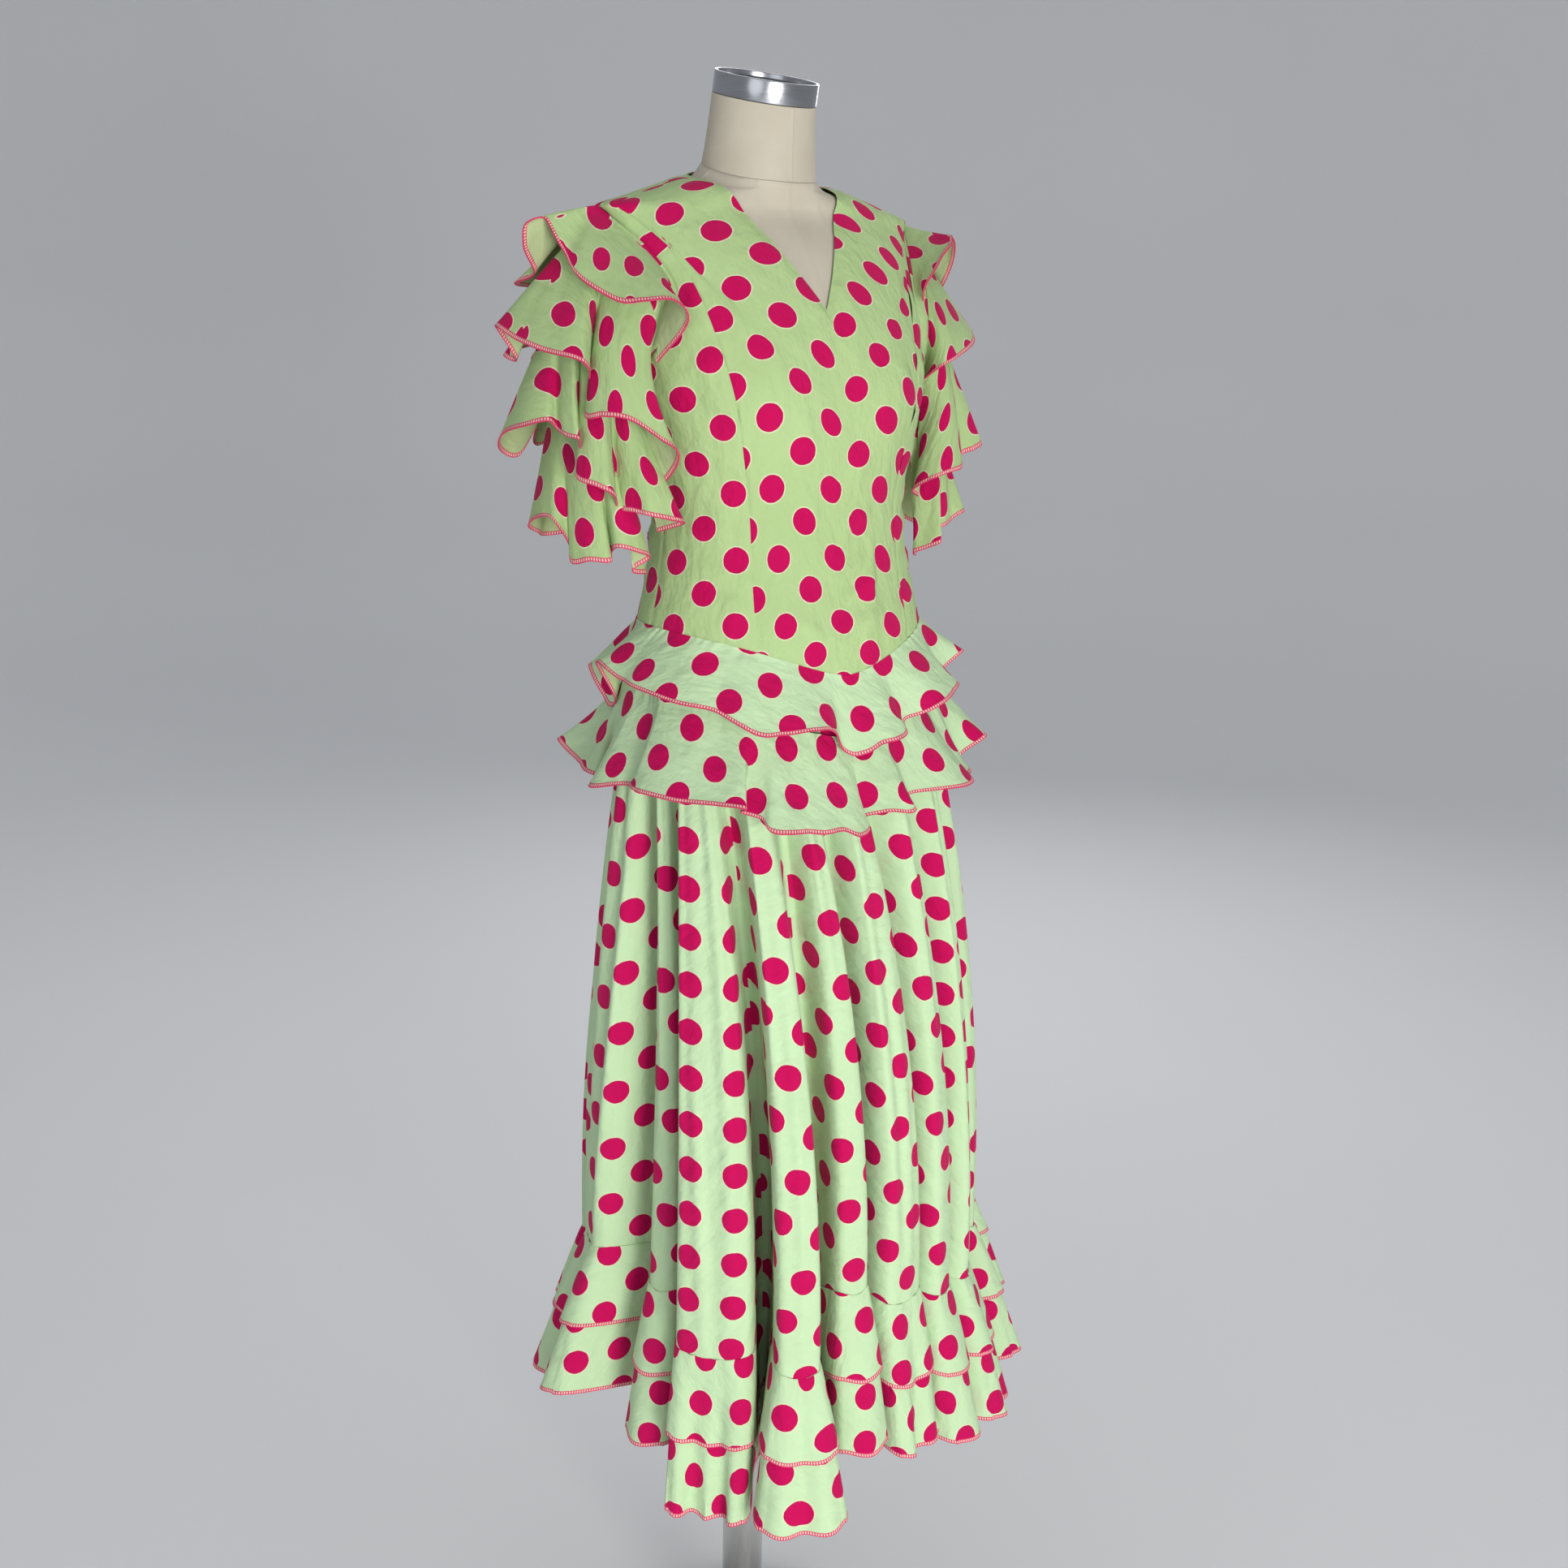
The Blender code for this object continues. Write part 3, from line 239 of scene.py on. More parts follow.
def select_faces(rule):
    """Selects the active mesh's faces that a rule on centre and normal picks, in edit mode."""
    bpy.ops.object.mode_set(mode="EDIT")
    bpy.ops.mesh.select_mode(type="FACE")
    bpy.ops.mesh.select_all(action="DESELECT")
    bpy.ops.object.mode_set(mode="OBJECT")
    for face in bpy.context.object.data.polygons:
        face.select = bool(rule(face.center, face.normal))
    bpy.ops.object.mode_set(mode="EDIT")


def rounded_and_named(name, finish, bevel, segments=3, angle=40):
    """Rounds the active piece's edges, puts its place in its mesh and names it."""
    made = bpy.context.object
    made.name = made.data.name = name
    bpy.ops.object.transform_apply(location=True, rotation=True, scale=True)
    rounding = made.modifiers.new("rounding", "BEVEL")
    rounding.width, rounding.segments = bevel, segments
    rounding.limit_method, rounding.angle_limit = "ANGLE", math.radians(angle)
    bpy.ops.object.modifier_apply(modifier=rounding.name)
    bpy.ops.object.shade_smooth_by_angle(angle=math.radians(angle))
    made.data.materials.clear()
    made.data.materials.append(finish)
    made.select_set(False)
    return made


iron, shader, place = new_finish("painted_iron", roughness=0.42, metallic=0.6)
grain = place.noise(0.0015, 4.0)
worn = place.noise(0.05, 3.0)
feed(shader, Base_Color=worn.mixed((0.028, 0.028, 0.031), (0.052, 0.052, 0.055)),
     Roughness=worn * 0.25 + 0.34, Normal=bump(grain, 0.0003, 0.5))

bpy.ops.mesh.primitive_cylinder_add(vertices=ROUND_SIDES, radius=BASE_RADIUS, depth=BASE_THICKNESS,
                                    location=(0, 0, BASE_THICKNESS / 2))
select_faces(lambda centre, normal: normal.z > 0.9)
bpy.ops.mesh.inset(thickness=BASE_RADIUS - HUB_RADIUS - HUB_STEP)
bpy.ops.mesh.extrude_region_move(TRANSFORM_OT_translate={"value": (0, 0, HUB_STEP_RISES[0])})
bpy.ops.mesh.inset(thickness=HUB_STEP)
bpy.ops.transform.translate(value=(0, 0, HUB_STEP_RISES[1]))
bpy.ops.mesh.extrude_region_move(
    TRANSFORM_OT_translate={"value": (0, 0, HUB_HEIGHT - BASE_THICKNESS - sum(HUB_STEP_RISES))})
bpy.ops.object.mode_set(mode="OBJECT")
base = rounded_and_named("iron_foot", iron, 0.003, 4, 30)
takes_place_of(base, "stand_base")

steel, shader, place = new_finish("brushed_steel", roughness=0.34, metallic=1.0)
brushing = place.noise(0.004, 5.0, stretch=(6.0, 6.0, 0.12))
feed(shader, Base_Color=brushing.mixed((0.58, 0.58, 0.56), (0.76, 0.76, 0.73)),
     Roughness=brushing * 0.20 + 0.32, Normal=bump(brushing, 0.0002, 0.35))
bpy.ops.mesh.primitive_cylinder_add(vertices=ROUND_SIDES // 2, radius=POLE_RADIUS,
                                    depth=POLE_ENDS[1] - POLE_ENDS[0], location=(0, 0, sum(POLE_ENDS) / 2))
select_faces(lambda centre, normal: abs(normal.z) > 0.9)
bpy.ops.mesh.inset(thickness=TUBE_CHAMFER)
bpy.ops.object.mode_set(mode="OBJECT")
pole = rounded_and_named("steel_pole", steel, 0.0006, 2)
takes_place_of(pole, "stand_pole")

# ------------------------------------------------------------ the dress form
# A firm padded torso and neck without arms, covered in cream canvas. The cover is sewn from
# gores: a ridged seam runs down the centre front, and another one joins neck and torso.
RING_HEIGHT = 0.022
RING_TOP_CENTRE = (0.0, -0.0025, 1.803)
RING_TILT = 13.0
SEAM_GAP = 0.0004
FORM_CLEARANCE = 0.0055
FORM_SHOULDER_SHARE = 0.955
COVER_SEAM_RISE = 0.0009
COVER_SEAM_WIDTH = 0.0016
COVER_SEAMS = (0.0, 34.0, 90.0, 146.0, 180.0, -146.0, -90.0, -34.0)
FORM_COLUMNS = 360
FORM_SHARP = 50.0              # edges sharper than this many degrees stay sharp
BUST_RISE, BUST_HALF_SPAN, BUST_HEIGHT, BUST_SPREAD = 0.011, 0.082, 1.490, 0.050
BUST_SIDES = 3.0               # the bust runs out this fast towards the sides


def table(columns, rows):
    """A table with named columns. Those named _mm are in millimetres and are kept in metres."""
    made = {}
    for name, values in zip(columns.split(), np.array(rows, float).T):
        made[name.removesuffix("_mm")] = values / 1000 if name.endswith("_mm") else values
    return made


BODICE = table("height_mm half_width_mm half_depth_mm centre_mm squareness tilt", [
    (1190, 167, 127, -45, 2.10, 0), (1245, 163, 122, -44, 2.10, 0), (1300, 151, 111, -41, 2.10, 0),
    (1375, 144, 105, -37, 2.10, 0), (1440, 159, 113, -32, 2.15, 0), (1500, 172, 116, -25, 2.20, 0),
    (1560, 174, 110, -15, 2.25, 0), (1600, 174, 98, -6, 2.30, 0), (1640, 178, 80, 4, 2.25, 0),
    (1660, 186, 68, 10, 2.15, 0), (1668, 190, 64, 12, 2.10, 0), (1678, 160, 64, 13, 2.05, 1),
    (1688, 128, 65, 14, 2.00, 3), (1697, 98, 66, 14, 2.00, 6), (1703, 78, 67, 13, 2.00, 9),
    (1712, 68, 66, 10, 2.00, 14),
])
FORM = table("height_mm half_width_mm half_depth_mm centre_mm squareness tilt", [
    (1040, 112, 84, -33, 2.10, 0), (1048, 130, 98, -35, 2.10, 0), (1070, 138, 105, -37, 2.10, 0),
    (1130, 143, 108, -39, 2.10, 0), (1230, 140, 106, -38, 2.10, 0), (1330, 116, 91, -34, 2.10, 0),
    (1420, 136, 100, -30, 2.15, 0), (1480, 158, 105, -24, 2.20, 0),
])
FORM_SHOULDER_HEIGHTS = (1.520, 1.560, 1.595, 1.625, 1.645, 1.657, 1.665, 1.671, 1.678, 1.688,
                         1.697, 1.703, 1.712)
NECK_RADII = ((0.0, 0.0620), (0.10, 0.0600), (0.25, 0.0585), (0.45, 0.0572), (0.70, 0.0558),
              (1.0, 0.0545))


def cubic(t, start, end, run, start_slope, end_slope):
    """Goes from start to end as t goes from 0 to 1, with a slope at each end of the run."""
    return ((2 * t**3 - 3 * t**2 + 1) * start + (t**3 - 2 * t**2 + t) * run * start_slope
            + (3 * t**2 - 2 * t**3) * end + (t**3 - t**2) * run * end_slope)


def through(keys, values, at):
    """A smooth curve through the rows of a table (cubic, slopes from the neighbours)."""
    at, keys, values = (np.asarray(x, float) for x in (at, keys, values))
    slopes = np.gradient(values, keys, axis=0)
    row = np.clip(np.searchsorted(keys, at, side="right") - 1, 0, len(keys) - 2)
    span = (keys[row + 1] - keys[row]).reshape(at.shape + (1,) * (values.ndim - 1))
    t = np.clip((at - keys[row]).reshape(span.shape) / span, 0.0, 1.0)
    return cubic(t, values[row], values[row + 1], span, slopes[row], slopes[row + 1])


def wrapped(angle):
    return (np.asarray(angle, float) + 180.0) % 360.0 - 180.0


def unit(vectors):
    return vectors / np.linalg.norm(vectors, axis=-1, keepdims=True)


def body_point(sections, angle, height):
    """A point of a body section; angle and height may be arrays."""
    angle, height = np.broadcast_arrays(np.asarray(angle, float), np.asarray(height, float))
    value = {name: through(sections["height"], column, height)
             for name, column in sections.items() if name != "height"}
    s, c = np.sin(np.radians(angle)), np.cos(np.radians(angle))
    power = 2.0 / value["squareness"]
    x = value["half_width"] * np.sign(s) * np.abs(s) ** power
    y = -value["half_depth"] * np.sign(c) * np.abs(c) ** power
    z = height + np.tan(np.radians(value["tilt"])) * y
    rise = BUST_RISE * np.exp(-((np.abs(x) - BUST_HALF_SPAN) / BUST_SPREAD) ** 2
                              - ((height - BUST_HEIGHT) / BUST_SPREAD) ** 2)
    y = y - rise * np.clip(c * BUST_SIDES, 0.0, 1.0)
    return np.stack([x, y + value["centre"], z], -1)


def body_normal(sections, angle, height):
    """Outward unit normal of the body surface, by small steps."""
    step_a, step_h = 0.5, 0.0008
    along = body_point(sections, angle + step_a, height) - body_point(sections, angle - step_a, height)
    up = body_point(sections, angle, height + step_h) - body_point(sections, angle, height - step_h)
    return unit(np.cross(along, up))


def tilted(points, degrees, centre):
    """Leans points forward about the X axis and moves them to their centre."""
    lean = math.radians(degrees)
    turn = np.array([[1, 0, 0], [0, math.cos(lean), -math.sin(lean)],
                     [0, math.sin(lean), math.cos(lean)]])
    return np.asarray(points) @ turn.T + np.array(centre)


def padded_piece(name, rings, seams, finish):
    """A closed body through rings of points, with the cover's ridged seams at some angles."""
    rows, columns = rings.shape[:2]
    middle = rings.mean(axis=1, keepdims=True)
    out = unit(rings - middle)
    reach = np.linalg.norm(rings - middle, axis=-1)
    angle = np.degrees(np.arctan2(out[..., 0], -out[..., 1]))
    for seam in seams:
        away = np.radians(wrapped(angle - seam)) * reach
        rings = rings + out * (COVER_SEAM_RISE * np.exp(-(away / COVER_SEAM_WIDTH) ** 2))[..., None]
    points = np.concatenate([rings.reshape(-1, 3), rings[0].mean(0)[None], rings[-1].mean(0)[None]])
    faces = []
    for r in range(rows - 1):
        for c in range(columns):
            a, b = r * columns + c, r * columns + (c + 1) % columns
            faces.append((a, b, b + columns, a + columns))
    foot, top, last = rows * columns, rows * columns + 1, (rows - 1) * columns
    for c in range(columns):
        following = (c + 1) % columns
        faces += [(foot, following, c), (top, last + c, last + following)]
    made = add_mesh(name, points + (0, 0, STAND_LIFT), faces, finish)
    made.data.set_sharp_from_angle(angle=math.radians(FORM_SHARP))
    takes_place_of(made, name.replace("canvas", "form"))
    return made


canvas, shader, place = new_finish("cream_canvas", roughness=0.88)
THREAD = 0.0011
weave = (place.part(0) * (2 * math.pi / THREAD)).sine() * (place.part(2) * (2 * math.pi / THREAD)).sine()
blotches = place.noise(0.035, 4.0)
slubs = place.noise(0.002, 2.0, stretch=(1.0, 1.0, 6.0))
tone = blotches.above(0.5, 0.7).mixed((0.46, 0.415, 0.325), (0.545, 0.50, 0.41))
feed(shader, Base_Color=slubs.above(0.62, 0.2).mixed(tone, (0.50, 0.45, 0.36)),
     Roughness=blotches * 0.1 + 0.82, Normal=bump(weave * 0.5 + slubs, 0.0004, 0.35))

turns = np.linspace(0, 360, FORM_COLUMNS, endpoint=False)
torso_rings = []
for height in FORM["height"]:
    torso_rings.append(body_point(FORM, turns, height))
for height in FORM_SHOULDER_HEIGHTS:
    inside = body_point(BODICE, turns, height) - FORM_CLEARANCE * body_normal(BODICE, turns, height)
    torso_rings.append(inside * (FORM_SHOULDER_SHARE, 1, 1))
torso_rings = np.array(torso_rings)
count = len(torso_rings)
padded_piece("canvas_torso", through(np.arange(count), torso_rings, np.linspace(0, count - 1, 3 * count - 2)),
             COVER_SEAMS, canvas)

neck_foot = torso_rings[-1] + (0, 0, SEAM_GAP)
foot_centre = neck_foot.mean(axis=0)
ring_foot = tilted([[0, 0, -RING_HEIGHT - SEAM_GAP]], RING_TILT, RING_TOP_CENTRE)[0]
neck_rings = []
for share, radius in NECK_RADII:
    flat = tilted(direction(turns) * radius, RING_TILT, foot_centre * (1 - share) + ring_foot * share)
    blend = (1 - share) ** 4
    neck_rings.append(neck_foot * blend + flat * (1 - blend))
neck_rings = through([share for share, _ in NECK_RADII], np.array(neck_rings), np.linspace(0, 1, 26))
padded_piece("canvas_neck", neck_rings, (0.0, 180.0), canvas)

# ------------------------------------------------------------ the neck's metal cap
# A chromed brass band closes the neck. A dark polished plate lies a little below its rim.
RING_RADIUS = 0.0545
RING_WALL = 0.0025
PLATE_RECESS = 0.005
PLATE_FOOT = -RING_HEIGHT + 0.0002
PLATE_RIM, PLATE_STEP, PLATE_DISH = 0.004, 0.002, 0.0008

chrome, shader, place = new_finish("chrome", roughness=0.16, metallic=1.0)
scuffs = place.noise(0.040, 4.0, stretch=(1.0, 1.0, 40.0))
feed(shader, Base_Color=scuffs.mixed((0.30, 0.31, 0.33), (0.46, 0.47, 0.50)),
     Roughness=scuffs * 0.12 + 0.17)
dark_chrome, shader, place = new_finish("dark_plate", roughness=0.35, metallic=0.3)
smears = place.noise(0.02, 4.0)
feed(shader, Base_Color=smears.mixed((0.035, 0.036, 0.042), (0.075, 0.078, 0.088)),
     Roughness=smears * 0.25 + 0.18)

lean = (math.radians(RING_TILT), 0, 0)
band_middle = tilted([[0, 0, -RING_HEIGHT / 2]], RING_TILT, RING_TOP_CENTRE)[0] + (0, 0, STAND_LIFT)
bpy.ops.mesh.primitive_cylinder_add(vertices=ROUND_SIDES, radius=RING_RADIUS, depth=RING_HEIGHT,
                                    end_fill_type="NOTHING", location=band_middle, rotation=lean)
wall = bpy.context.object.modifiers.new("wall", "SOLIDIFY")
wall.thickness, wall.offset = RING_WALL, -1.0
bpy.ops.object.modifier_apply(modifier=wall.name)
band = rounded_and_named("chrome_band", chrome, 0.0008)
takes_place_of(band, "neck_cap_ring")

plate_middle = tilted([[0, 0, (PLATE_FOOT - PLATE_RECESS) / 2]], RING_TILT, RING_TOP_CENTRE)[0]
plate_middle = plate_middle + (0, 0, STAND_LIFT)
bpy.ops.mesh.primitive_cylinder_add(vertices=ROUND_SIDES, radius=RING_RADIUS - RING_WALL - SEAM_GAP,
                                    depth=-PLATE_RECESS - PLATE_FOOT, location=plate_middle, rotation=lean)
select_faces(lambda centre, normal: normal.z > 0.9)
bpy.ops.mesh.inset(thickness=PLATE_RIM)
bpy.ops.mesh.inset(thickness=PLATE_STEP)
bpy.ops.transform.translate(value=(0, 0, -PLATE_DISH), orient_type="NORMAL")
bpy.ops.object.mode_set(mode="OBJECT")
plate = rounded_and_named("cap_plate", dark_chrome, 0.0005, 2)
takes_place_of(plate, "neck_cap_plate")

# ------------------------------------------------------------ the fitted bodice
# Five panels of printed crepe: a centre front, two side fronts and two backs, joined by long
# princess seams that end at the shoulder, side seams and a zip down the centre back. The
# panels follow the form closely and pull a little across the waist and under the arms.
CREPE_THICKNESS = 0.0008
OVERLOCK_WIDTH = 0.0045        # the pink overlock stitch along every free edge of the flounces
OVERLOCK_SWELL = 0.0008        # the edge is this much thicker there
DOT_SPACING = 0.0510           # the dots stand in squares, turned by 45 degrees to the grain
DOT_RADIUS = 0.0143
DOT_HALO = 0.0012              # the ground shows paler round each dot, where the print misses
STITCH_STEP = 0.0030
LEAST_CUT_SHARE = 0.31         # the cloth fills at least this share of its flat size
PANEL_ROUNDS, FLOUNCE_ROUNDS = 900, 250    # rounds in which a piece's print map relaxes
CLOTH_SHARP = 60.0             # edges sharper than this many degrees stay sharp
EASING = 0.22                  # share of its strain that a tie gives up in each round

LIME = (0.425, 0.575, 0.268)
LIME_SHADE = (0.395, 0.540, 0.238)
MINT = (0.520, 0.700, 0.425)
MINT_SHADE = (0.490, 0.670, 0.395)
MAGENTA = (0.510, 0.000, 0.085)
MAGENTA_RIM = (0.390, 0.000, 0.058)
HALO = (0.690, 0.660, 0.460)
WRONG_SIDE = (0.470, 0.560, 0.300)
STITCH_PINK = (0.660, 0.050, 0.140)
STITCH_CREAM = (0.800, 0.560, 0.460)
THREAD_STEP = 0.0007


def crepe(name, ground, shade, printed):
    """Printed crepe: one side carries the dots; free edges are overlocked in pink."""
    made, shader, place = new_finish(name, roughness=0.72, Sheen_Weight=0.03, Sheen_Roughness=0.5)
    shader.inputs["Specular IOR Level"].default_value = 0.12
    print_place, edge_place = (place.node("UVMap", {"uv_map": layer}) for layer in ("print", "edge"))
    u, v, along, inward = (layer.part(i) for layer in (print_place, edge_place) for i in (0, 1))
    cloud = place.noise(0.09, 3.0)
    colour = cloud.above(0.5, 0.6).mixed(shade, ground)
    wobble = print_place.noise(0.006, 2.0)
    if printed:
        diagonal = 1 / (DOT_SPACING * math.sqrt(2))
        across = (u + v) * diagonal
        down = (u - v) * diagonal
        across = across - across.sum("ROUND", across)
        down = down - down.sum("ROUND", down)
        reach = (across * across + down * down)
        reach = reach.sum("SQRT", reach) * DOT_SPACING + wobble * 0.0010
        radius = DOT_RADIUS + 0.0005
        colour = reach.below(radius + DOT_HALO, 0.0006).mixed(colour, HALO)
        colour = reach.below(radius, 0.0003).mixed(colour, MAGENTA_RIM)
        colour = reach.below(radius - 0.0009, 0.0006).mixed(colour, MAGENTA)
    rung = (along * (2 * math.pi / STITCH_STEP)).sine().above(-0.1, 0.5)
    band = inward.below(OVERLOCK_WIDTH, 0.0004)
    between = inward.above(0.0010, 0.0004) * inward.below(OVERLOCK_WIDTH - 0.0009, 0.0004)
    stitches = (rung * between).mixed(STITCH_PINK, STITCH_CREAM)
    colour = band.mixed(colour, stitches)
    turn = 2 * math.pi / THREAD_STEP
    threads = (u * turn).sine() * (v * turn).sine()
    crinkle = print_place.noise(0.0016, 3.0)
    drag = print_place.noise(0.030, 3.0, stretch=(1.0, 0.45, 1.0))
    crumple = print_place.noise(0.011, 3.0, stretch=(1.0, 0.6, 1.0))
    relief = (threads * 0.0001 + crinkle * 0.00030 + crumple * 0.0040 + drag * 0.0090
              + rung * band * 0.0006)
    feed(shader, Base_Color=colour, Roughness=crinkle * 0.16 + 0.62, Normal=bump(relief, 1.0, 0.70))
    return made


right_side = crepe("printed_crepe", LIME, LIME_SHADE, True)
washed_side = crepe("printed_crepe_washed", MINT, MINT_SHADE, True)
wrong_side = crepe("crepe_wrong_side", WRONG_SIDE, (0.42, 0.50, 0.26), False)


def fine(edge, steps):
    """A smooth run through the rows of an edge, with that many steps for each row."""
    edge = np.asarray(edge, float)
    rows = np.arange(len(edge))
    return through(rows, edge, np.linspace(0, len(edge) - 1, (len(edge) - 1) * steps + 1))


def outward(grid, closed, middle=None):
    """Unit normals at the points of a grid, on the side that looks away from a middle axis."""
    if closed:
        across = np.roll(grid, -1, 1) - np.roll(grid, 1, 1)
    else:
        across = np.gradient(grid, axis=1)
    normals = unit(np.cross(across, np.gradient(grid, axis=0)))
    middle = grid.mean(axis=(0, 1)) if middle is None else np.array(middle)
    level = (grid - middle) * (1, 1, 0)
    return normals if (normals * level).sum() > 0 else -normals


def flattened(grid, place, rounds):
    """Lays a fitted piece flat: the map starts from place and relaxes to the cloth's lengths."""
    place = place.copy()
    ways = ((slice(None), slice(0, -1), slice(None), slice(1, None)),
            (slice(0, -1), slice(None), slice(1, None), slice(None)),
            (slice(0, -1), slice(0, -1), slice(1, None), slice(1, None)),
            (slice(0, -1), slice(1, None), slice(1, None), slice(0, -1)))
    ties = []
    for r0, c0, r1, c1 in ways:
        ties.append((np.linalg.norm(grid[r1, c1] - grid[r0, c0], axis=-1, keepdims=True), r0, c0, r1, c1))
    for _ in range(rounds):
        for length, r0, c0, r1, c1 in ties:
            run = place[r1, c1] - place[r0, c0]
            reach = np.maximum(np.linalg.norm(run, axis=-1, keepdims=True), 1e-9)
            pull = run * (EASING * (1 - length / reach))
            place[r0, c0] += pull
            place[r1, c1] -= pull
    return place


def ringed(grid):
    """A closed grid with its first column again at its end."""
    return np.concatenate([grid, grid[:, :1]], axis=1)


def arc_lengths(grid, axis):
    """Distance along each row (axis 1) or down each column (axis 0) of a grid."""
    steps = np.linalg.norm(np.diff(grid, axis=axis), axis=-1)
    start = np.zeros_like(np.take(steps, [0], axis=axis))
    return np.concatenate([start, np.cumsum(steps, axis=axis)], axis=axis)


def creased(grid, normals, place, creases):
    """Raises creases: start and end of each on the cloth, its width and its height."""
    rise = np.zeros(grid.shape[:2])
    for u0, v0, u1, v1, width, height in np.array(creases) / 1000:
        run = np.array([u1 - u0, v1 - v0])
        share = ((place - (u0, v0)) @ run) / (run @ run)
        nearest = (u0, v0) + np.clip(share, 0, 1)[..., None] * run
        away = np.linalg.norm(place - nearest, axis=-1) / width
        fading = np.sin(np.pi * np.clip(share, 0.0, 1.0)) ** 0.7
        rise += height * fading * np.exp(-away ** 2)
    return grid + normals * rise[..., None]


def cloth_shell(name, grid, normals, print_uv, edge_uv=None, closed=False, cut=None,
                cloth=right_side):
    """A thin wall of crepe round a grid: the printed side out, the plain side in.

    A closed grid's print map has one column more than its points, so that the print runs on
    across the closing seam. edge_uv holds the distance along and from the free edge."""
    rows, columns = grid.shape[:2]
    if edge_uv is None:
        edge_uv = np.ones_like(print_uv)
    inward = edge_uv[:, :columns, 1:]
    half = CREPE_THICKNESS / 2 + OVERLOCK_SWELL / 2 * np.clip(1.6 - inward / OVERLOCK_WIDTH, 0, 1)
    points = np.concatenate([(grid + normals * half).reshape(-1, 3),
                             (grid - normals * half).reshape(-1, 3)])
    r, c = np.meshgrid(np.arange(rows - 1), np.arange(columns if closed else columns - 1), indexing="ij")
    r, c = r.ravel(), c.ravel()
    corners = ((0, 0), (1, 0), (1, 1), (0, 1))
    first = np.cross(grid[rows // 2 + 1, 1] - grid[rows // 2, 1], grid[rows // 2, 2] - grid[rows // 2, 1])
    turned_in = first @ normals[rows // 2, 1] < 0
    if turned_in:
        corners = corners[::-1]
    outer = np.stack([(r + dr) * columns + (c + dc) % columns for dr, dc in corners], -1)
    wide = print_uv.shape[1]
    outer_map = np.stack([(r + dr) * wide + c + dc for dr, dc in corners], -1)
    across, down = np.arange(columns if closed else columns - 1), np.arange(rows - 1)
    rims = [(r0 * columns + across, r0 * columns + (across + 1) % columns, r0 * wide + across, 1, flip)
            for r0, flip in ((0, turned_in), (rows - 1, not turned_in))]
    if not closed:
        rims += [(down * columns + c0, (down + 1) * columns + c0, down * wide + c0, wide, flip)
                 for c0, flip in ((0, not turned_in), (columns - 1, turned_in))]
    faces, maps = [outer, outer[:, ::-1] + rows * columns], [outer_map, outer_map[:, ::-1]]
    for a, b, map_a, map_step, flip in rims:
        order = slice(None, None, -1 if flip else 1)
        faces.append(np.stack([a, b, b + rows * columns, a + rows * columns], -1)[:, order])
        maps.append(np.stack([map_a, map_a + map_step, map_a + map_step, map_a], -1)[:, order])
    faces, maps = np.concatenate(faces), np.concatenate(maps)
    made = add_mesh(f"{name}_cloth", points + (0, 0, STAND_LIFT), faces.tolist(), cloth)
    mesh = made.data
    mesh.materials.append(wrong_side)
    backs = np.zeros(len(faces), int)
    backs[len(outer):2 * len(outer)] = 1
    mesh.polygons.foreach_set("material_index", backs)
    for layer, values in (("print", print_uv), ("edge", edge_uv)):
        flat = values.reshape(-1, 2)[maps.ravel()]
        mesh.uv_layers.new(name=layer).data.foreach_set("uv", flat.ravel())
    mesh.set_sharp_from_angle(angle=math.radians(CLOTH_SHARP))
    mesh.update()
    takes_place_of(made, name)
    if cut is None:
        cut = (float(arc_lengths(grid, 1)[:, -1].max()), float(arc_lengths(grid, 0)[-1].max()))
    surface, whole = wall_area(grid, closed), cut[0] * cut[1]
    min(whole, max(surface, LEAST_CUT_SHARE * whole))
    return made


def wall_area(grid, closed):
    """Area of a grid's cells, from their diagonals."""
    ring = ringed(grid) if closed else grid
    one, other = ring[1:, 1:] - ring[:-1, :-1], ring[1:, :-1] - ring[:-1, 1:]
    return float(np.linalg.norm(np.cross(one, other), axis=-1).sum() / 2)


SEAM_SIDE_HEIGHT = 1.250
SEAM_FRONT_DIP = 0.047
SEAM_DIP_SPREAD = 38.0
UNDERARM_HEIGHT = 1.500
SHOULDER_TIP_HEIGHT = 1.668
PRINCESS_TOP_HEIGHT = 1.6875
NECK_POINT_HEIGHT = 1.703
NECKLINE_V_HEIGHT = 1.572
ARMHOLE_SCOOP = 33.0
FRONT_COLUMN_SHARES = (0.0, 0.22, 0.42, 0.59, 0.73, 0.85, 0.94, 1.0)
PRINCESS = table("height angle", [
    (1.2310, 35.0), (1.3000, 37.5), (1.3700, 39.0), (1.4300, 39.5), (1.5000, 41.0),
    (1.5500, 44.0), (1.5950, 48.5), (1.6300, 55.0), (1.6500, 62.0), (1.6650, 70.0), (1.6780, 80.0),
    (PRINCESS_TOP_HEIGHT, 90.0),
])
SIDE_HEIGHTS = (1.250, 1.310, 1.380, 1.440, UNDERARM_HEIGHT, 1.530, 1.570, 1.600, 1.630, 1.648,
                1.660, SHOULDER_TIP_HEIGHT)
ROW_STEPS = 9                  # fine rows for each row of the tables
SEAM_WIDTH = 0.0035            # the cloth sinks into a seam over this width
SEAM_SINK = 0.0008
NECKLINE_SINK = 0.0030         # the neckline's edge lies close on the form
NECKLINE_WIDTH = 0.010
PRINT_LEVEL = 1.430            # the print is laid level at this height
BACK_CREASE_START = 0.150      # the backs' creases count across from here at the side seam


def waist_seam_height(angle):
    spread = np.abs(wrapped(angle)) / SEAM_DIP_SPREAD
    return SEAM_SIDE_HEIGHT - SEAM_FRONT_DIP * np.exp(-spread ** 1.5)


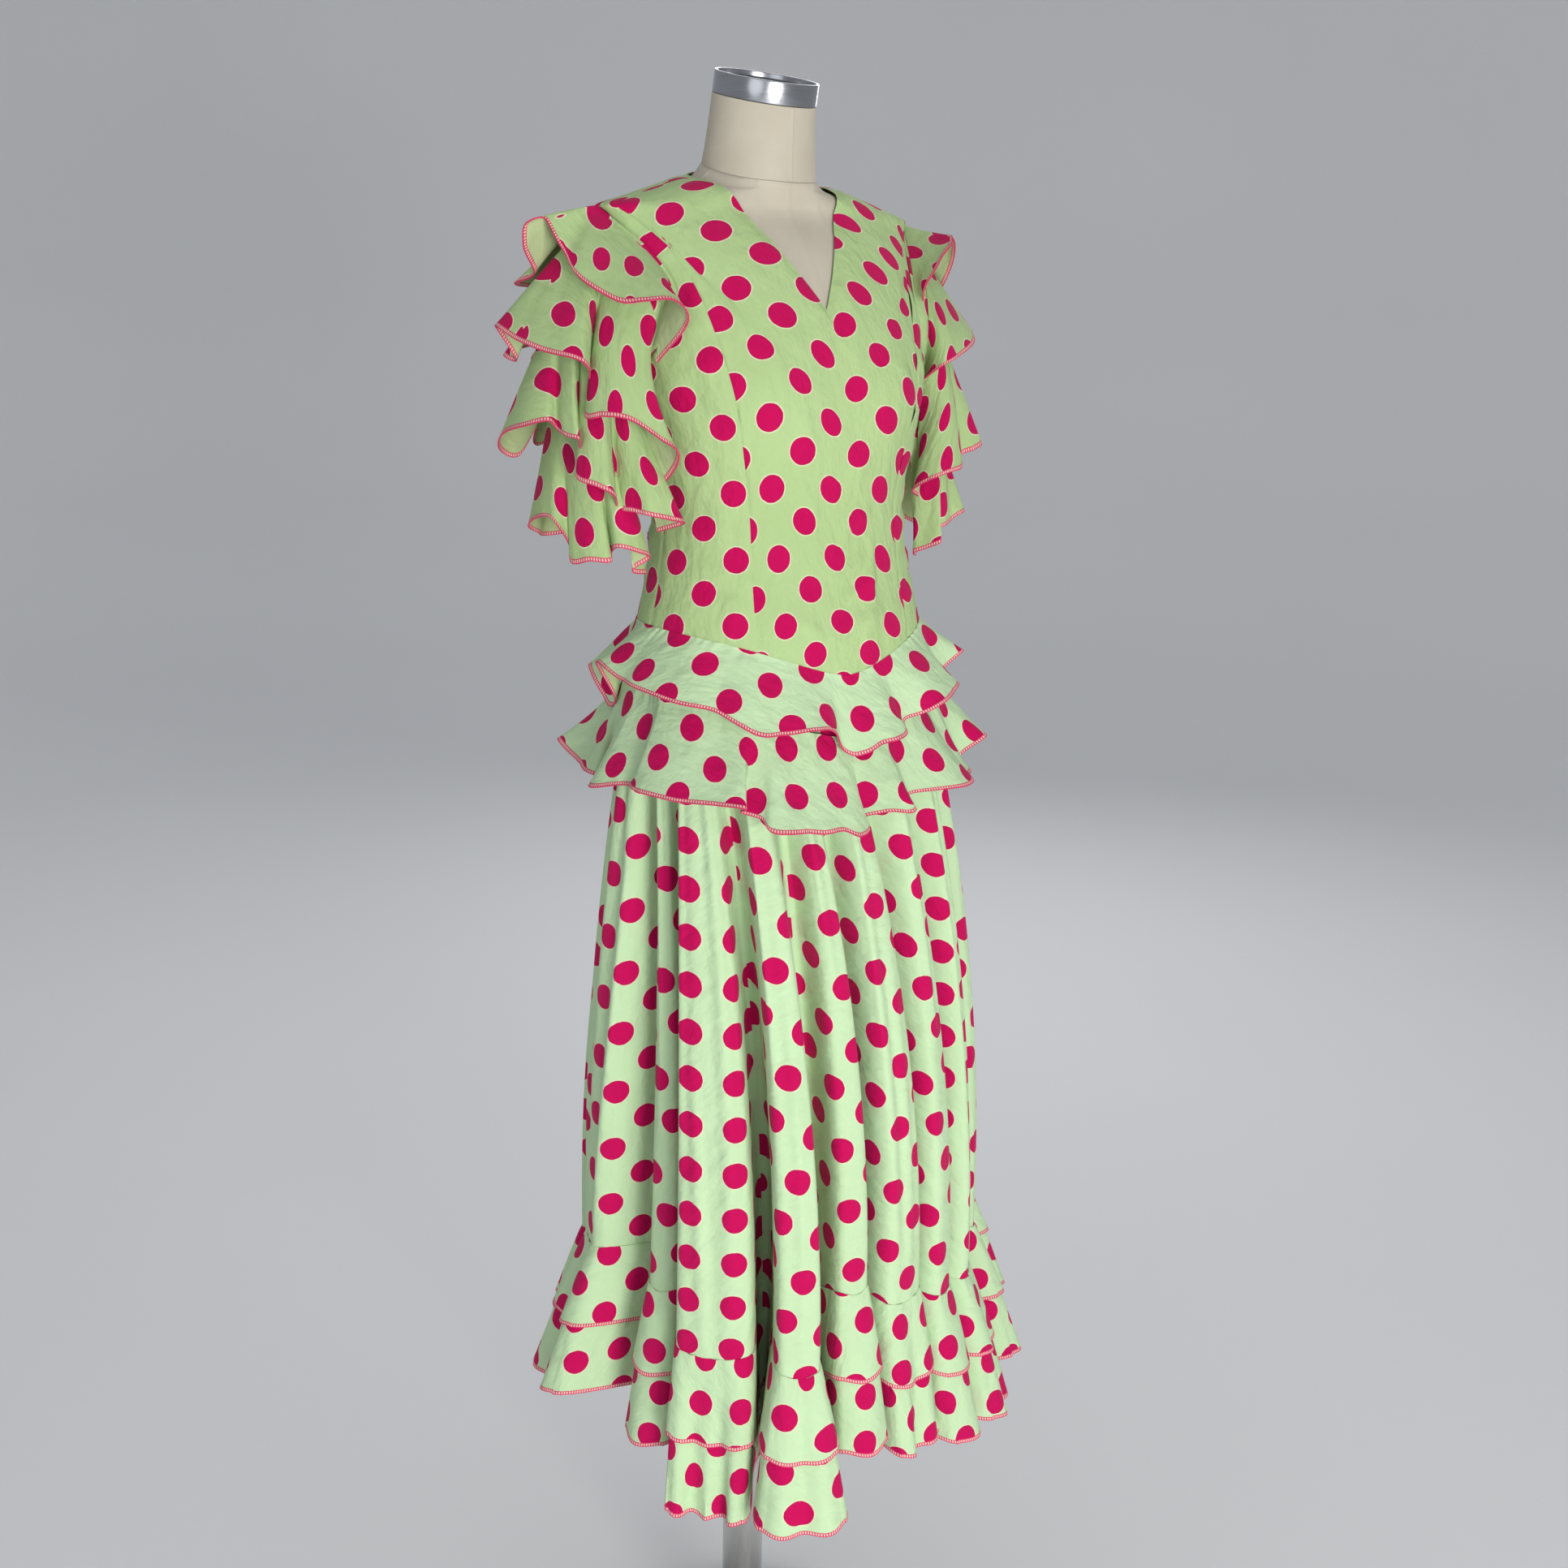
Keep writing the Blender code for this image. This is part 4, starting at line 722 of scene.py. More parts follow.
def patch(bottom, top, left, right, shares=None):
    """Fills a four-sided piece on the body's surface from its edges (angle, height)."""
    bottom, top, left, right = (np.asarray(edge, float) for edge in (bottom, top, left, right))
    u = (np.linspace(0, 1, len(bottom)) if shares is None else np.array(shares))[None, :, None]
    v = np.linspace(0, 1, len(left))[:, None, None]
    ruled = (1 - v) * bottom[None] + v * top[None] + (1 - u) * left[:, None] + u * right[:, None]
    corners = ((1 - u) * (1 - v) * bottom[0] + u * (1 - v) * bottom[-1]
               + (1 - u) * v * top[0] + u * v * top[-1])
    return ruled - corners


def side_edge(sign):
    """Side seam and armhole of a front (+1) or a back (-1), as angles from 90 degrees."""
    heights = fine(SIDE_HEIGHTS, ROW_STEPS)
    share = np.clip((heights - UNDERARM_HEIGHT) / (SHOULDER_TIP_HEIGHT - UNDERARM_HEIGHT), 0, 1)
    return np.stack([90 - sign * ARMHOLE_SCOOP * np.sin(np.pi * share), heights], -1)


def shoulder_edge(start, end, rows):
    heights = np.linspace(start, end, rows * ROW_STEPS + 1)
    return np.stack([np.full(len(heights), 90.0), heights], -1)


def princess_edge():
    seam = np.stack([PRINCESS["angle"], PRINCESS["height"]], -1)
    seam[0, 1] = waist_seam_height(seam[0, 0])
    return fine(seam, ROW_STEPS)


def neckline_edge(shares):
    """The V neckline, straight in front view from its point to the neck point."""
    neck_point = body_point(BODICE, 90, NECK_POINT_HEIGHT)
    edge = []
    for share in shares:
        x = share * neck_point[0]
        z = NECKLINE_V_HEIGHT + share * (neck_point[2] - NECKLINE_V_HEIGHT)
        height, angle = z, 90.0 * share
        for _ in range(30):
            width = through(BODICE["height"], BODICE["half_width"], height)
            power = 2.0 / through(BODICE["height"], BODICE["squareness"], height)
            angle = math.degrees(math.asin(min(x / width, 1.0) ** (1 / power)))
            height += 0.6 * (z - body_point(BODICE, angle, height)[2])
        edge.append((angle, height))
    edge[-1] = (90.0, NECK_POINT_HEIGHT)
    return np.array(edge)


def as_front_view(edge):
    """Turns (angle, height) into (distance from the centre, height)."""
    edge = np.asarray(edge, float)
    return np.stack([np.abs(body_point(BODICE, edge[..., 0], edge[..., 1])[..., 0]), edge[..., 1]], -1)


def from_front_view(sheet):
    """Back to (angle, height) on the body's surface."""
    width = through(BODICE["height"], BODICE["half_width"], sheet[..., 1])
    power = through(BODICE["height"], BODICE["squareness"], sheet[..., 1]) / 2.0
    share = np.clip(sheet[..., 0] / width, 0.0, 1.0)
    return np.stack([np.degrees(np.arcsin(share ** power)), sheet[..., 1]], -1)


def front_centre_sheet():
    """Half of the front: filled in front view, because its top runs over the shoulder."""
    outer = np.concatenate([princess_edge(), shoulder_edge(PRINCESS_TOP_HEIGHT, NECK_POINT_HEIGHT, 2)[1:]])
    rows = len(outer)
    middle = np.stack([np.zeros(rows), np.linspace(waist_seam_height(0), NECKLINE_V_HEIGHT, rows)], -1)
    shares = fine(FRONT_COLUMN_SHARES, 5)
    angles = outer[0, 0] * shares
    foot = np.stack([angles, waist_seam_height(angles)], -1)
    edges = (foot, neckline_edge(shares), middle, outer)
    sheet = from_front_view(patch(*(as_front_view(edge) for edge in edges), shares))
    sheet[0], sheet[-1], sheet[:, 0], sheet[:, -1] = edges
    return sheet


def front_side_sheet(columns=33):
    seam = princess_edge()
    angles = np.linspace(seam[0, 0], 90, columns)
    foot = np.stack([angles, waist_seam_height(angles)], -1)
    top = shoulder_edge(PRINCESS_TOP_HEIGHT, SHOULDER_TIP_HEIGHT, (columns - 1) // ROW_STEPS + 1)
    top = top[np.linspace(0, len(top) - 1, columns).round().astype(int)]
    return patch(foot, top, seam, side_edge(1))


def back_sheet(columns=49):
    shoulder = np.concatenate([shoulder_edge(SHOULDER_TIP_HEIGHT, PRINCESS_TOP_HEIGHT, 4)[1:],
                               shoulder_edge(PRINCESS_TOP_HEIGHT, NECK_POINT_HEIGHT, 2)[1:]])
    outer = np.concatenate([side_edge(-1), shoulder])
    rows = len(outer)
    share = np.linspace(0, 1, rows)
    middle = np.stack([np.full(rows, 180.0),
                       SEAM_SIDE_HEIGHT + share * (NECK_POINT_HEIGHT - SEAM_SIDE_HEIGHT)], -1)
    angles = 90 + 90 * np.linspace(0, 1, columns) ** 1.35
    foot = np.stack([angles, waist_seam_height(angles)], -1)
    top = np.stack([angles, np.full(columns, NECK_POINT_HEIGHT)], -1)
    return patch(foot, top, outer, middle)


# Creases of the bodice in millimetres. For both ends: across from the centre front (+ to the
# wearer's left) and height; then width and height. They run from the side seams to the waist.
FRONT_CREASES = (
    (-10, 1300, 60, 1322, 6.8, 3.9), (5, 1278, 75, 1306, 6.1, 4.3), (10, 1255, 70, 1262, 8.2, 3.8),
    (-60, 1330, -20, 1345, 8.2, 2.4), (-70, 1268, -30, 1240, 6.8, 3), (20, 1352, 85, 1372, 8.2, 3),
    (-85, 1390, -40, 1380, 9.6, 2.3), (30, 1402, 80, 1418, 9.6, 2.3), (-30, 1232, 0, 1262, 6.8, 3),
    (60, 1610, 40, 1500, 15, 3), (22, 1222, 52, 1300, 6, 2.6), (34, 1226, 74, 1340, 6.2, 2.8),
    (0, 1222, 30, 1262, 5.6, 2.2), (48, 1262, 86, 1356, 6, 2.4), (-48, 1262, -20, 1292, 5.6, 1.8),
    (10, 1330, 50, 1392, 6.4, 1.8), (-95, 1470, -50, 1440, 10.9, 2.4),
)
SIDE_CREASES = (
    (85, 1452, 150, 1490, 8.2, 3), (88, 1300, 160, 1318, 6.8, 3.4), (90, 1348, 165, 1352, 8.2, 3.9),
    (95, 1372, 170, 1392, 6.8, 3.1), (90, 1410, 150, 1432, 8.9, 2.4), (100, 1270, 150, 1288, 6.8, 3),
    (110, 1530, 160, 1500, 10.9, 3), (125, 1600, 150, 1540, 13.7, 3.4),
)
BACK_CREASES = (
    (170, 1330, 260, 1345, 8.2, 3.8), (180, 1372, 255, 1368, 8.2, 3.4), (190, 1300, 270, 1286, 6.8, 3),
    (200, 1420, 280, 1432, 10.9, 2.4), (190, 1480, 150, 1520, 10.9, 3),
    (270, 1255, 300, 1300, 8.2, 2.6),
)


PANEL_PRINTS = {               # how each panel's cloth is stretched and shifted under the dots
    "bodice_front_centre": ((1.000, 0.000), (0.000, 1.000), (0.0000, 0.0000)),
    "bodice_front_side_right": ((1.073, -0.028), (0.028, 1.073), (0.0204, -0.0078)),
    "bodice_front_side_left": ((1.040, 0.000), (0.000, 1.060), (-0.0120, 0.0200)),
    "bodice_back_left": ((1.020, 0.000), (0.000, 1.030), (0.0200, 0.0100)),
    "bodice_back_right": ((1.020, 0.000), (0.000, 1.030), (-0.0200, 0.0060)),
}


# How the print bends over the bust: for u and v, the weights of u, v, uu, uv, vv, uuv, uuu, vvv,
# uvv and 1, with v measured from PRINT_LEVEL.
FRONT_PRINT_BEND = (
    (0.952, 0.063, -0.357, -0.449, 0.106, 3.042, 3.093, -0.510, -0.702, -0.0264),
    (0.050, 0.945, 1.571, 0.018, -0.107, 0.970, -0.374, 0.800, 0.690, -0.0092),
)


def centred(run):
    return run - run[:, run.shape[1] // 2][:, None]


def panel(name, grid, normals, creases):
    """One bodice panel: creased, sunk into its seams, and the print laid over it."""
    in_centre, across = "front_centre" in name, arc_lengths(grid, 1)
    sideways = centred(across) if in_centre else across
    if "side" in name:
        sideways = sideways + np.abs(grid[:, :1, 0])
    if "back" in name:
        sideways = sideways + BACK_CREASE_START
    grid = creased(grid, normals, np.stack([sideways, grid[..., 2]], -1), creases)
    for away in (across, across[:, -1:] - across):
        grid = grid - normals * (SEAM_SINK * np.exp(-(away / SEAM_WIDTH) ** 2))[..., None]
    if "side" not in name:
        away = arc_lengths(grid, 0)
        away = away[-1:] - away
        grid = grid - normals * (NECKLINE_SINK * np.exp(-(away / NECKLINE_WIDTH) ** 2))[..., None]
    level = arc_lengths(grid[..., :2], 1)
    if in_centre:
        level = centred(level)
    climb = arc_lengths(grid, 0)
    bust = [np.interp(PRINT_LEVEL, z, run) for z, run in zip(grid[..., 2].T, climb.T)]
    up = PRINT_LEVEL + climb - bust
    turned = -1.0 if "right" in name else 1.0
    print_uv = flattened(grid, np.stack([level, up], -1), PANEL_ROUNDS) * (turned, 1)
    *stretch, shift = PANEL_PRINTS[name]
    print_uv = print_uv @ np.array(stretch).T + shift
    if in_centre:
        u, v = print_uv[..., 0], print_uv[..., 1] - PRINT_LEVEL
        weights = (u, v, u * u, u * v, v * v, u * u * v, u ** 3, v ** 3, u * v * v, u * 0 + 1)
        print_uv = np.stack(weights, -1) @ np.array(FRONT_PRINT_BEND).T
    return cloth_shell(name, grid, normals, print_uv)


def on_body(sheet, side):
    """Points and normals of a sheet of (angle, height), on side +1 or mirrored to -1."""
    return [shape(BODICE, sheet[..., 0], sheet[..., 1]) * (side, 1, 1)
            for shape in (body_point, body_normal)]


half = front_centre_sheet()
points, normals = (np.concatenate([right[:, ::-1], left[:, 1:]], axis=1)
                   for right, left in zip(on_body(half, -1), on_body(half, 1)))
panel("bodice_front_centre", points, normals, FRONT_CREASES)
for side, word in ((1, "left"), (-1, "right")):
    panel(f"bodice_front_side_{word}", *on_body(front_side_sheet(), side), SIDE_CREASES)
    panel(f"bodice_back_{word}", *on_body(back_sheet(), side), BACK_CREASES)

# ------------------------------------------------------------ the skirt
# A full-circle skirt of the same crepe, gathered into the dropped waist seam and joined at
# both sides. It falls in round columns, wide ones and narrow ones with deep troughs between.
SKIRT_CENTRE_Y = -0.035
SKIRT_OPENING = 1.9
FOLD_DEPTH_SHARE = 0.150
RIDGE_CROWN = 0.005
TROUGH_WIDTH = 0.011
TROUGH_LIFT = 0.008
SKIRT_SEAM_DROP = 0.0012
CUT_INNER_RADIUS = 0.147       # the skirt is cut as a full circle round this waist radius
PRINT_TURN = 45.0              # the print map's squares stand on their corners
CLOTH_SLOPE = 1.015            # length of a fold for each metre that it falls
SKIRT_LINES_FINE = 10          # fine columns for each of the five lines of a fold
FOLD_FINE = 5 * SKIRT_LINES_FINE
SKIRT_ROWS_FINE = 61
SKIRT_CREASE_SHARE = 0.6       # share of the creases' height that is used
CREASE_FURROW = (0.55, 1.9)    # a furrow lies beside each crease: its depth and its distance
RIDGE_FACING = (0.55, 0.3)     # creases fade where the cloth turns away into a trough
PRINT_BREAK = 0.02             # the print jumps over this share of a column in a trough

# The folds: angle, radius, width and height of each ridge at the hem; how far it leans at the
# waist; how wide its bell opens in the hem flounces, how far it swings out and how far its
# crest is pinched in; its pipes and their height; the turn and shift of its print; and the
# length of the flounces under it, as a share.
FOLDS = table("angle ridge_radius_mm ridge_width_mm ridge_height_mm lean bell_mm flare_mm "
              "pinch_mm pipes pipe_mm turn print_u_mm print_v_mm long", [
    (-108, 210, 56, 522, 24, 96, 62, -6, 2, 7, -46.7, 15.9, -15, 1.0),
    (-74, 184, 36, 506, 6, 60, 30, 4, 1, 4, -23.5, -1, 4.8, 1.0),
    (-48.8, 226, 84, 470, 0, 92, 26, -20, 3, 8, 1.6, -19.8, 6, 1.07),
    (-24.8, 246, 44, 462, 0, 100, 42, 4, 2, 6, 25.3, 7.4, -20.3, 0.94),
    (-5.3, 208, 36, 528, 0, 62, 36, 4, 1, 4, 40.1, 24, -10.4, 1.0),
    (14, 216, 58, 500, 0, 70, 34, -8, 2, 5, 54, -11.1, -23.4, 1.0),
    (31, 230, 44, 484, 0, 64, 40, 4, 1, 5, 71.7, 13, 8.4, 1.0),
    (47.5, 244, 58, 476, 0, 84, 46, 6, 2, 6, 95, 9.3, 23.1, 1.0),
    (66, 256, 52, 500, 0, 88, 56, 6, 2, 7, 112, 10, 4, 1.0),
    (86, 270, 58, 530, 0, 96, 70, -6, 2, 6, 130, -12, 18, 1.0),
    (106, 262, 52, 510, 0, 90, 66, 6, 1, 6, 150, 4, -8, 1.0),
    (125, 256, 58, 486, 0, 88, 60, -10, 2, 8, 168, 21, 12, 1.0),
    (143, 250, 50, 470, 0, 80, 52, 6, 1, 5, 186, -6, 2, 1.0),
    (161, 254, 60, 462, 0, 92, 58, -10, 3, 7, 204, 15, -13, 1.0),
    (180, 256, 56, 458, 0, 90, 60, 6, 2, 6, 222, -10, 20, 1.0),
    (198, 246, 50, 464, 0, 82, 52, 6, 1, 6, 240, 3, 9, 1.0),
    (216, 230, 56, 476, 0, 84, 54, -8, 2, 7, 258, -18, -4, 1.0),
    (234, 212, 46, 494, 8, 62, 58, 4, 1, 4, 284, 8, 15, 1.0),
])
# Creases down the folds: angle at the hem, where each starts and ends as a share of the
# length, its width and its height, and how far it drifts round on its way down, in degrees.
SKIRT_CREASES = table("angle start end width_mm height_mm drift", [
    (-60, 0.00, 0.75, 8, 5, 2), (-43, 0.10, 1.00, 7, 4.5, -2), (-52, 0.55, 1.05, 6, 4, 3),
    (-30, 0.05, 0.60, 6, 4, 1), (-24, 0.45, 1.05, 6, 3.5, -1), (-8, 0.00, 0.50, 6, 3.5, 2),
    (8, 0.10, 0.95, 7, 4.5, 2), (15, 0.40, 1.05, 6, 3.5, -2), (29, 0.00, 0.60, 6, 4, 1),
    (42, 0.15, 1.05, 7, 4.5, 2), (50, 0.00, 0.70, 6, 3.5, -1), (64, 0.30, 1.05, 7, 4, 2),
    (88, 0.05, 0.80, 8, 5, -2), (104, 0.20, 1.05, 7, 4, 1), (122, 0.00, 0.65, 8, 5, 3),
    (129, 0.40, 1.05, 6, 4, -2), (143, 0.10, 0.90, 7, 4.5, 1), (157, 0.00, 0.70, 8, 4.5, 2),
    (165, 0.35, 1.05, 7, 4.5, -1), (180, 0.05, 0.85, 8, 5, 2), (197, 0.25, 1.05, 7, 4, -2),
    (214, 0.00, 0.80, 8, 5, 1), (222, 0.45, 1.05, 6, 3.5, 2), (236, 0.10, 0.85, 7, 4, -1),
    (-113, 0.00, 0.80, 9, 5.5, 2), (-102, 0.30, 1.05, 8, 5, -3), (-75, 0.10, 0.75, 6, 3.5, 1),
])


def around(keys, values, at, lap=0.0):
    """A smooth curve round the body: the keys repeat every 360 degrees, the values grow by lap."""
    keys = np.concatenate([keys - 360, keys, keys + 360])
    return through(keys, np.concatenate([values - lap, values, values + lap]), at)


def fold_columns():
    """Five cloth lines for each fold: angle, radius and height at the hem, depth share, fold."""
    count = len(FOLDS["angle"])
    lines = []
    for i in range(count):
        j = (i + 1) % count
        here, following = FOLDS["angle"][i], FOLDS["angle"][j] + (360 if j == 0 else 0)
        radius, next_radius = FOLDS["ridge_radius"][i], FOLDS["ridge_radius"][j]
        half = math.degrees(FOLDS["ridge_width"][i] / 2 / radius)
        next_half = math.degrees(FOLDS["ridge_width"][j] / 2 / next_radius)
        trough = (here + half + following - next_half) / 2
        height, next_height = FOLDS["ridge_height"][i], FOLDS["ridge_height"][j]
        trough_height = (height + next_height) / 2 + TROUGH_LIFT
        trough_radius = (radius + next_radius) / 2
        bottom = trough_radius - FOLD_DEPTH_SHARE * (SEAM_SIDE_HEIGHT - trough_height)
        trough_half = math.degrees(TROUGH_WIDTH / 2 / bottom)
        lines += [
            (here - half, radius - RIDGE_CROWN, height + RIDGE_CROWN, 0, i),
            (here, radius, height, 0, i),
            (here + half, radius - RIDGE_CROWN, height + RIDGE_CROWN, 0, i),
            (trough - trough_half, trough_radius, trough_height, 1, i),
            (trough + trough_half, trough_radius, trough_height, 1, j),
        ]
    return {name: np.array(values) for name, values in
            zip(("angle", "radius", "height", "depth", "fold"), zip(*lines))}


def hem_points(lines):
    """The skirt's lower edge."""
    depth = FOLD_DEPTH_SHARE * (SEAM_SIDE_HEIGHT - lines["height"])
    points = direction(lines["angle"]) * (lines["radius"] - lines["depth"] * depth)[:, None]
    points = points + (0.0, SKIRT_CENTRE_Y, 0.0)
    points[:, 2] = lines["height"]
    return points


def seam_point(angle):
    """A point of the skirt's upper edge, under the dropped waist."""
    return body_point(BODICE, angle, waist_seam_height(angle) - SKIRT_SEAM_DROP)


def rounded(grid, steps):
    """Rounds the corners of closed rings: a centripetal curve through each row's points."""
    ahead = np.roll(grid, -1, 1)
    knot = np.sqrt(np.maximum(np.linalg.norm(ahead - grid, axis=-1, keepdims=True), 1e-6))
    before = np.roll(knot, 1, 1)
    slope_in, slope_out = (grid - np.roll(grid, 1, 1)) / before, (ahead - grid) / knot
    slope = (slope_in * knot + slope_out * before) / (knot + before)
    columns = [cubic(t, grid, ahead, knot, slope, np.roll(slope, -1, 1)) for t in np.arange(steps) / steps]
    return np.stack(columns, 2).reshape(grid.shape[0], -1, 3)


def between_lines(values, steps, period=0.0):
    """A value of the lines, spread evenly over the fine columns between them."""
    ahead = np.roll(values, -1)
    ahead[-1] += period
    share = np.arange(steps) / steps
    return (values[:, None] + (ahead - values)[:, None] * share).ravel()


lines = fold_columns()
hem_edge = hem_points(lines)
hem_steps = np.linalg.norm(np.roll(hem_edge, -1, 0) - hem_edge, axis=1)
cloth_share = np.concatenate([[0.0], np.cumsum(hem_steps)[:-1]]) / hem_steps.sum()
top_angles = lines["angle"][1] + 360.0 * (cloth_share - cloth_share[1])
skirt_top = seam_point(top_angles)
skirt_lean = around(FOLDS["angle"], FOLDS["lean"], wrapped(lines["angle"]))


def skirt_row(share):
    """A ring of the skirt's lines, a share of the way down from the waist seam."""
    spread = 1 - (1 - share) ** SKIRT_OPENING
    out = direction(lines["angle"] + skirt_lean * (1 - share))
    hem = out * lines["radius"][:, None] + (0.0, SKIRT_CENTRE_Y, 0.0)
    depth = FOLD_DEPTH_SHARE * share * (SEAM_SIDE_HEIGHT - lines["height"]) * lines["depth"]
    row = skirt_top * (1 - spread) + hem * spread - out * depth[:, None]
    row[:, 2] = skirt_top[:, 2] + share * (lines["height"] - skirt_top[:, 2])
    return row


row_shares = np.linspace(0, 1, SKIRT_ROWS_FINE)
skirt = rounded(np.array([skirt_row(share) for share in row_shares]), SKIRT_LINES_FINE)
skirt_normals = outward(skirt, True)
column_angle = between_lines(lines["angle"], SKIRT_LINES_FINE, 360.0)
ring_radius = np.linalg.norm((skirt - (0, SKIRT_CENTRE_Y, 0))[..., :2], axis=-1)
facing = np.sum(skirt_normals * direction(column_angle), axis=-1)
on_ridge = np.clip((facing - RIDGE_FACING[0]) / RIDGE_FACING[1], 0, 1)
rise = np.zeros(ring_radius.shape)
for angle, first, last, width, height, drift in zip(*SKIRT_CREASES.values()):
    share = (row_shares[:, None] - first) / (last - first)
    away = np.radians(wrapped(column_angle - angle - drift * (share - 0.5))) * ring_radius / width
    fading = np.sin(np.pi * np.clip(share, 0, 1)) ** 0.6
    furrow = CREASE_FURROW[0] * np.exp(-(np.abs(away) - CREASE_FURROW[1]) ** 2)
    rise += height * fading * (np.exp(-away ** 2) - furrow)
print_fall = skirt[..., 2] * CLOTH_SLOPE
level_run = arc_lengths(ringed(skirt)[..., :2], 1)
skirt = skirt + skirt_normals * (SKIRT_CREASE_SHARE * rise * on_ridge)[..., None]

fold_count = skirt.shape[1]
print_run = np.zeros(skirt.shape[:2])
print_fold = np.zeros(fold_count, int)
for i in range(len(FOLDS["angle"])):
    crest = i * FOLD_FINE + SKIRT_LINES_FINE
    column = crest + np.arange(-(FOLD_FINE // 2), FOLD_FINE // 2)
    laps = column // fold_count
    run = level_run[:, column % fold_count] + laps * level_run[:, -1:] - level_run[:, crest:crest + 1]
    print_run[:, column % fold_count] = run
    print_fold[column % fold_count] = i
breaks = np.nonzero(print_fold != np.roll(print_fold, -1))[0]      # the print jumps in the troughs
following = (breaks + 1) % fold_count
skirt[:, following] = skirt[:, breaks] + PRINT_BREAK * (skirt[:, following] - skirt[:, breaks])
lattice_turn = np.radians(PRINT_TURN + FOLDS["turn"][print_fold])
skirt_print = np.stack([
    print_run * np.cos(lattice_turn) - print_fall * np.sin(lattice_turn) + FOLDS["print_u"][print_fold],
    print_run * np.sin(lattice_turn) + print_fall * np.cos(lattice_turn) + FOLDS["print_v"][print_fold],
], -1)
cut_length = np.linalg.norm(np.diff(skirt, axis=0), axis=-1).sum(0).mean()

side_columns = [int(np.argmin(np.abs(wrapped(lines["angle"] - side)))) * SKIRT_LINES_FINE
                for side in (-90, 90)]
skirt_normals = outward(skirt, True)
start_column, end_column = side_columns
span = (end_column - start_column) % fold_count
for name, first, count in (("skirt_front", start_column, span),
                           ("skirt_back", end_column, fold_count - span)):
    pick = (first + np.arange(count + 1)) % fold_count
    cloth_shell(name, skirt[:, pick], skirt_normals[:, pick], skirt_print[:, pick],
                cut=(2 * (CUT_INNER_RADIUS + cut_length), CUT_INNER_RADIUS + cut_length),
                cloth=washed_side)

# ------------------------------------------------------------ the hem flounces
# Two circle-cut flounces of different depth are sewn on top of each other to the skirt's lower
# edge. The seam pinches the narrow folds, and under it each fold opens into a bell. Both free
# edges are overlocked in pink with a wide ladder stitch.
HEM_LENGTH = 0.180
HEM_UPPER_LENGTH = 0.098
HEM_ROWS = 31
FLOUNCE_SEAM_STAND = 0.0022
HEM_SEAM_STAND = 0.0009
HEM_UPPER_STAND = 0.0042
CORNER_LIMIT = 0.35            # keeps the stand-off round a sharp fold from running out
LEAST_FALL = 0.35              # cloth falls at least this share of its length
HEM_GATHERS = (0.0008, 0.015)  # height and pitch
HIP_GATHERS = (0.0007, 0.012)


def hanging_drop(moved, length):
    """How far a length of cloth falls once it has swung out by a horizontal distance."""
    out = np.linalg.norm(moved[..., :2], axis=-1)
    return np.sqrt(np.maximum(length ** 2 - out ** 2, (LEAST_FALL * length) ** 2))


def hem_row(length):
    """A ring of the hem flounces' lines, a length of cloth below the skirt's edge."""
    fold = lines["fold"].astype(int)
    flare = FOLDS["flare"][fold]
    centre_angle = lines["angle"] + wrapped(FOLDS["angle"][fold] - lines["angle"])
    ridge = lines["depth"] == 0
    crest = ridge & (np.abs(lines["angle"] - centre_angle) < 0.01)
    widening = (FOLDS["bell"][fold] / FOLDS["ridge_width"][fold]
                * lines["radius"] / (lines["radius"] + flare))
    eased = (length / HEM_LENGTH) ** 0.9
    growth = np.where(ridge, 1 + (widening - 1) * eased, 1.0)
    angle = centre_angle + (lines["angle"] - centre_angle) * growth
    swing = np.where(ridge, flare, 0.5 * flare) + np.where(crest, FOLDS["pinch"][fold], 0.0)
    depth = FOLD_DEPTH_SHARE * (SEAM_SIDE_HEIGHT - lines["height"])
    radius = lines["radius"] + swing * eased - lines["depth"] * depth
    row = direction(angle) * radius[:, None] + (0.0, SKIRT_CENTRE_Y, 0.0)
    row[:, 2] = hem_edge[:, 2] - hanging_drop(row - hem_edge, length * FOLDS["long"][fold])
    return row


def stood_off(grid, start, end):
    """Moves a closed flounce level off what it lies on: by start at its seam, by end at its edge."""
    edges = unit((np.roll(grid, -1, 1) - grid) * np.array([1, 1, 0]))
    outward = np.stack([edges[..., 1], -edges[..., 0], np.zeros(edges.shape[:2])], -1)
    corner = (outward + np.roll(outward, 1, 1)) / 2
    sharpness = np.maximum((corner ** 2).sum(-1, keepdims=True), CORNER_LIMIT)
    share = np.linspace(0, 1, len(grid))[:, None, None]
    return grid + corner / sharpness * (start + (end - start) * share)


def circle_cut(grid, closed, turn=0.0, shift=(0.0, 0.0)):
    """Print and edge maps of a circle-cut flounce whose last row is its free edge.

    The cut's inner radius follows from how much longer the free edge is than the seam."""
    ring = ringed(grid) if closed else grid
    seam = arc_lengths(ring, 1)[0]
    along = arc_lengths(ring, 1)[-1]
    down = np.linalg.norm(np.diff(ring, axis=0), axis=-1).mean(1)
    down = np.concatenate([[0.0], np.cumsum(down)])
    cut_radius = down[-1] / max(along[-1] / seam[-1] - 1, 0.02)
    angle = seam / cut_radius + math.radians(turn)
    reach = cut_radius + down[:, None]
    print_uv = flattened(ring, np.stack([reach * np.sin(angle), reach * np.cos(angle)], -1), FLOUNCE_ROUNDS)
    edge_uv = np.stack(np.broadcast_arrays(along[None], (down[-1] - down)[:, None]), -1)
    cut = (float(seam[-1] * (1 + down[-1] / 2 / cut_radius)), float(down[-1]))
    return print_uv + shift, edge_uv, cut


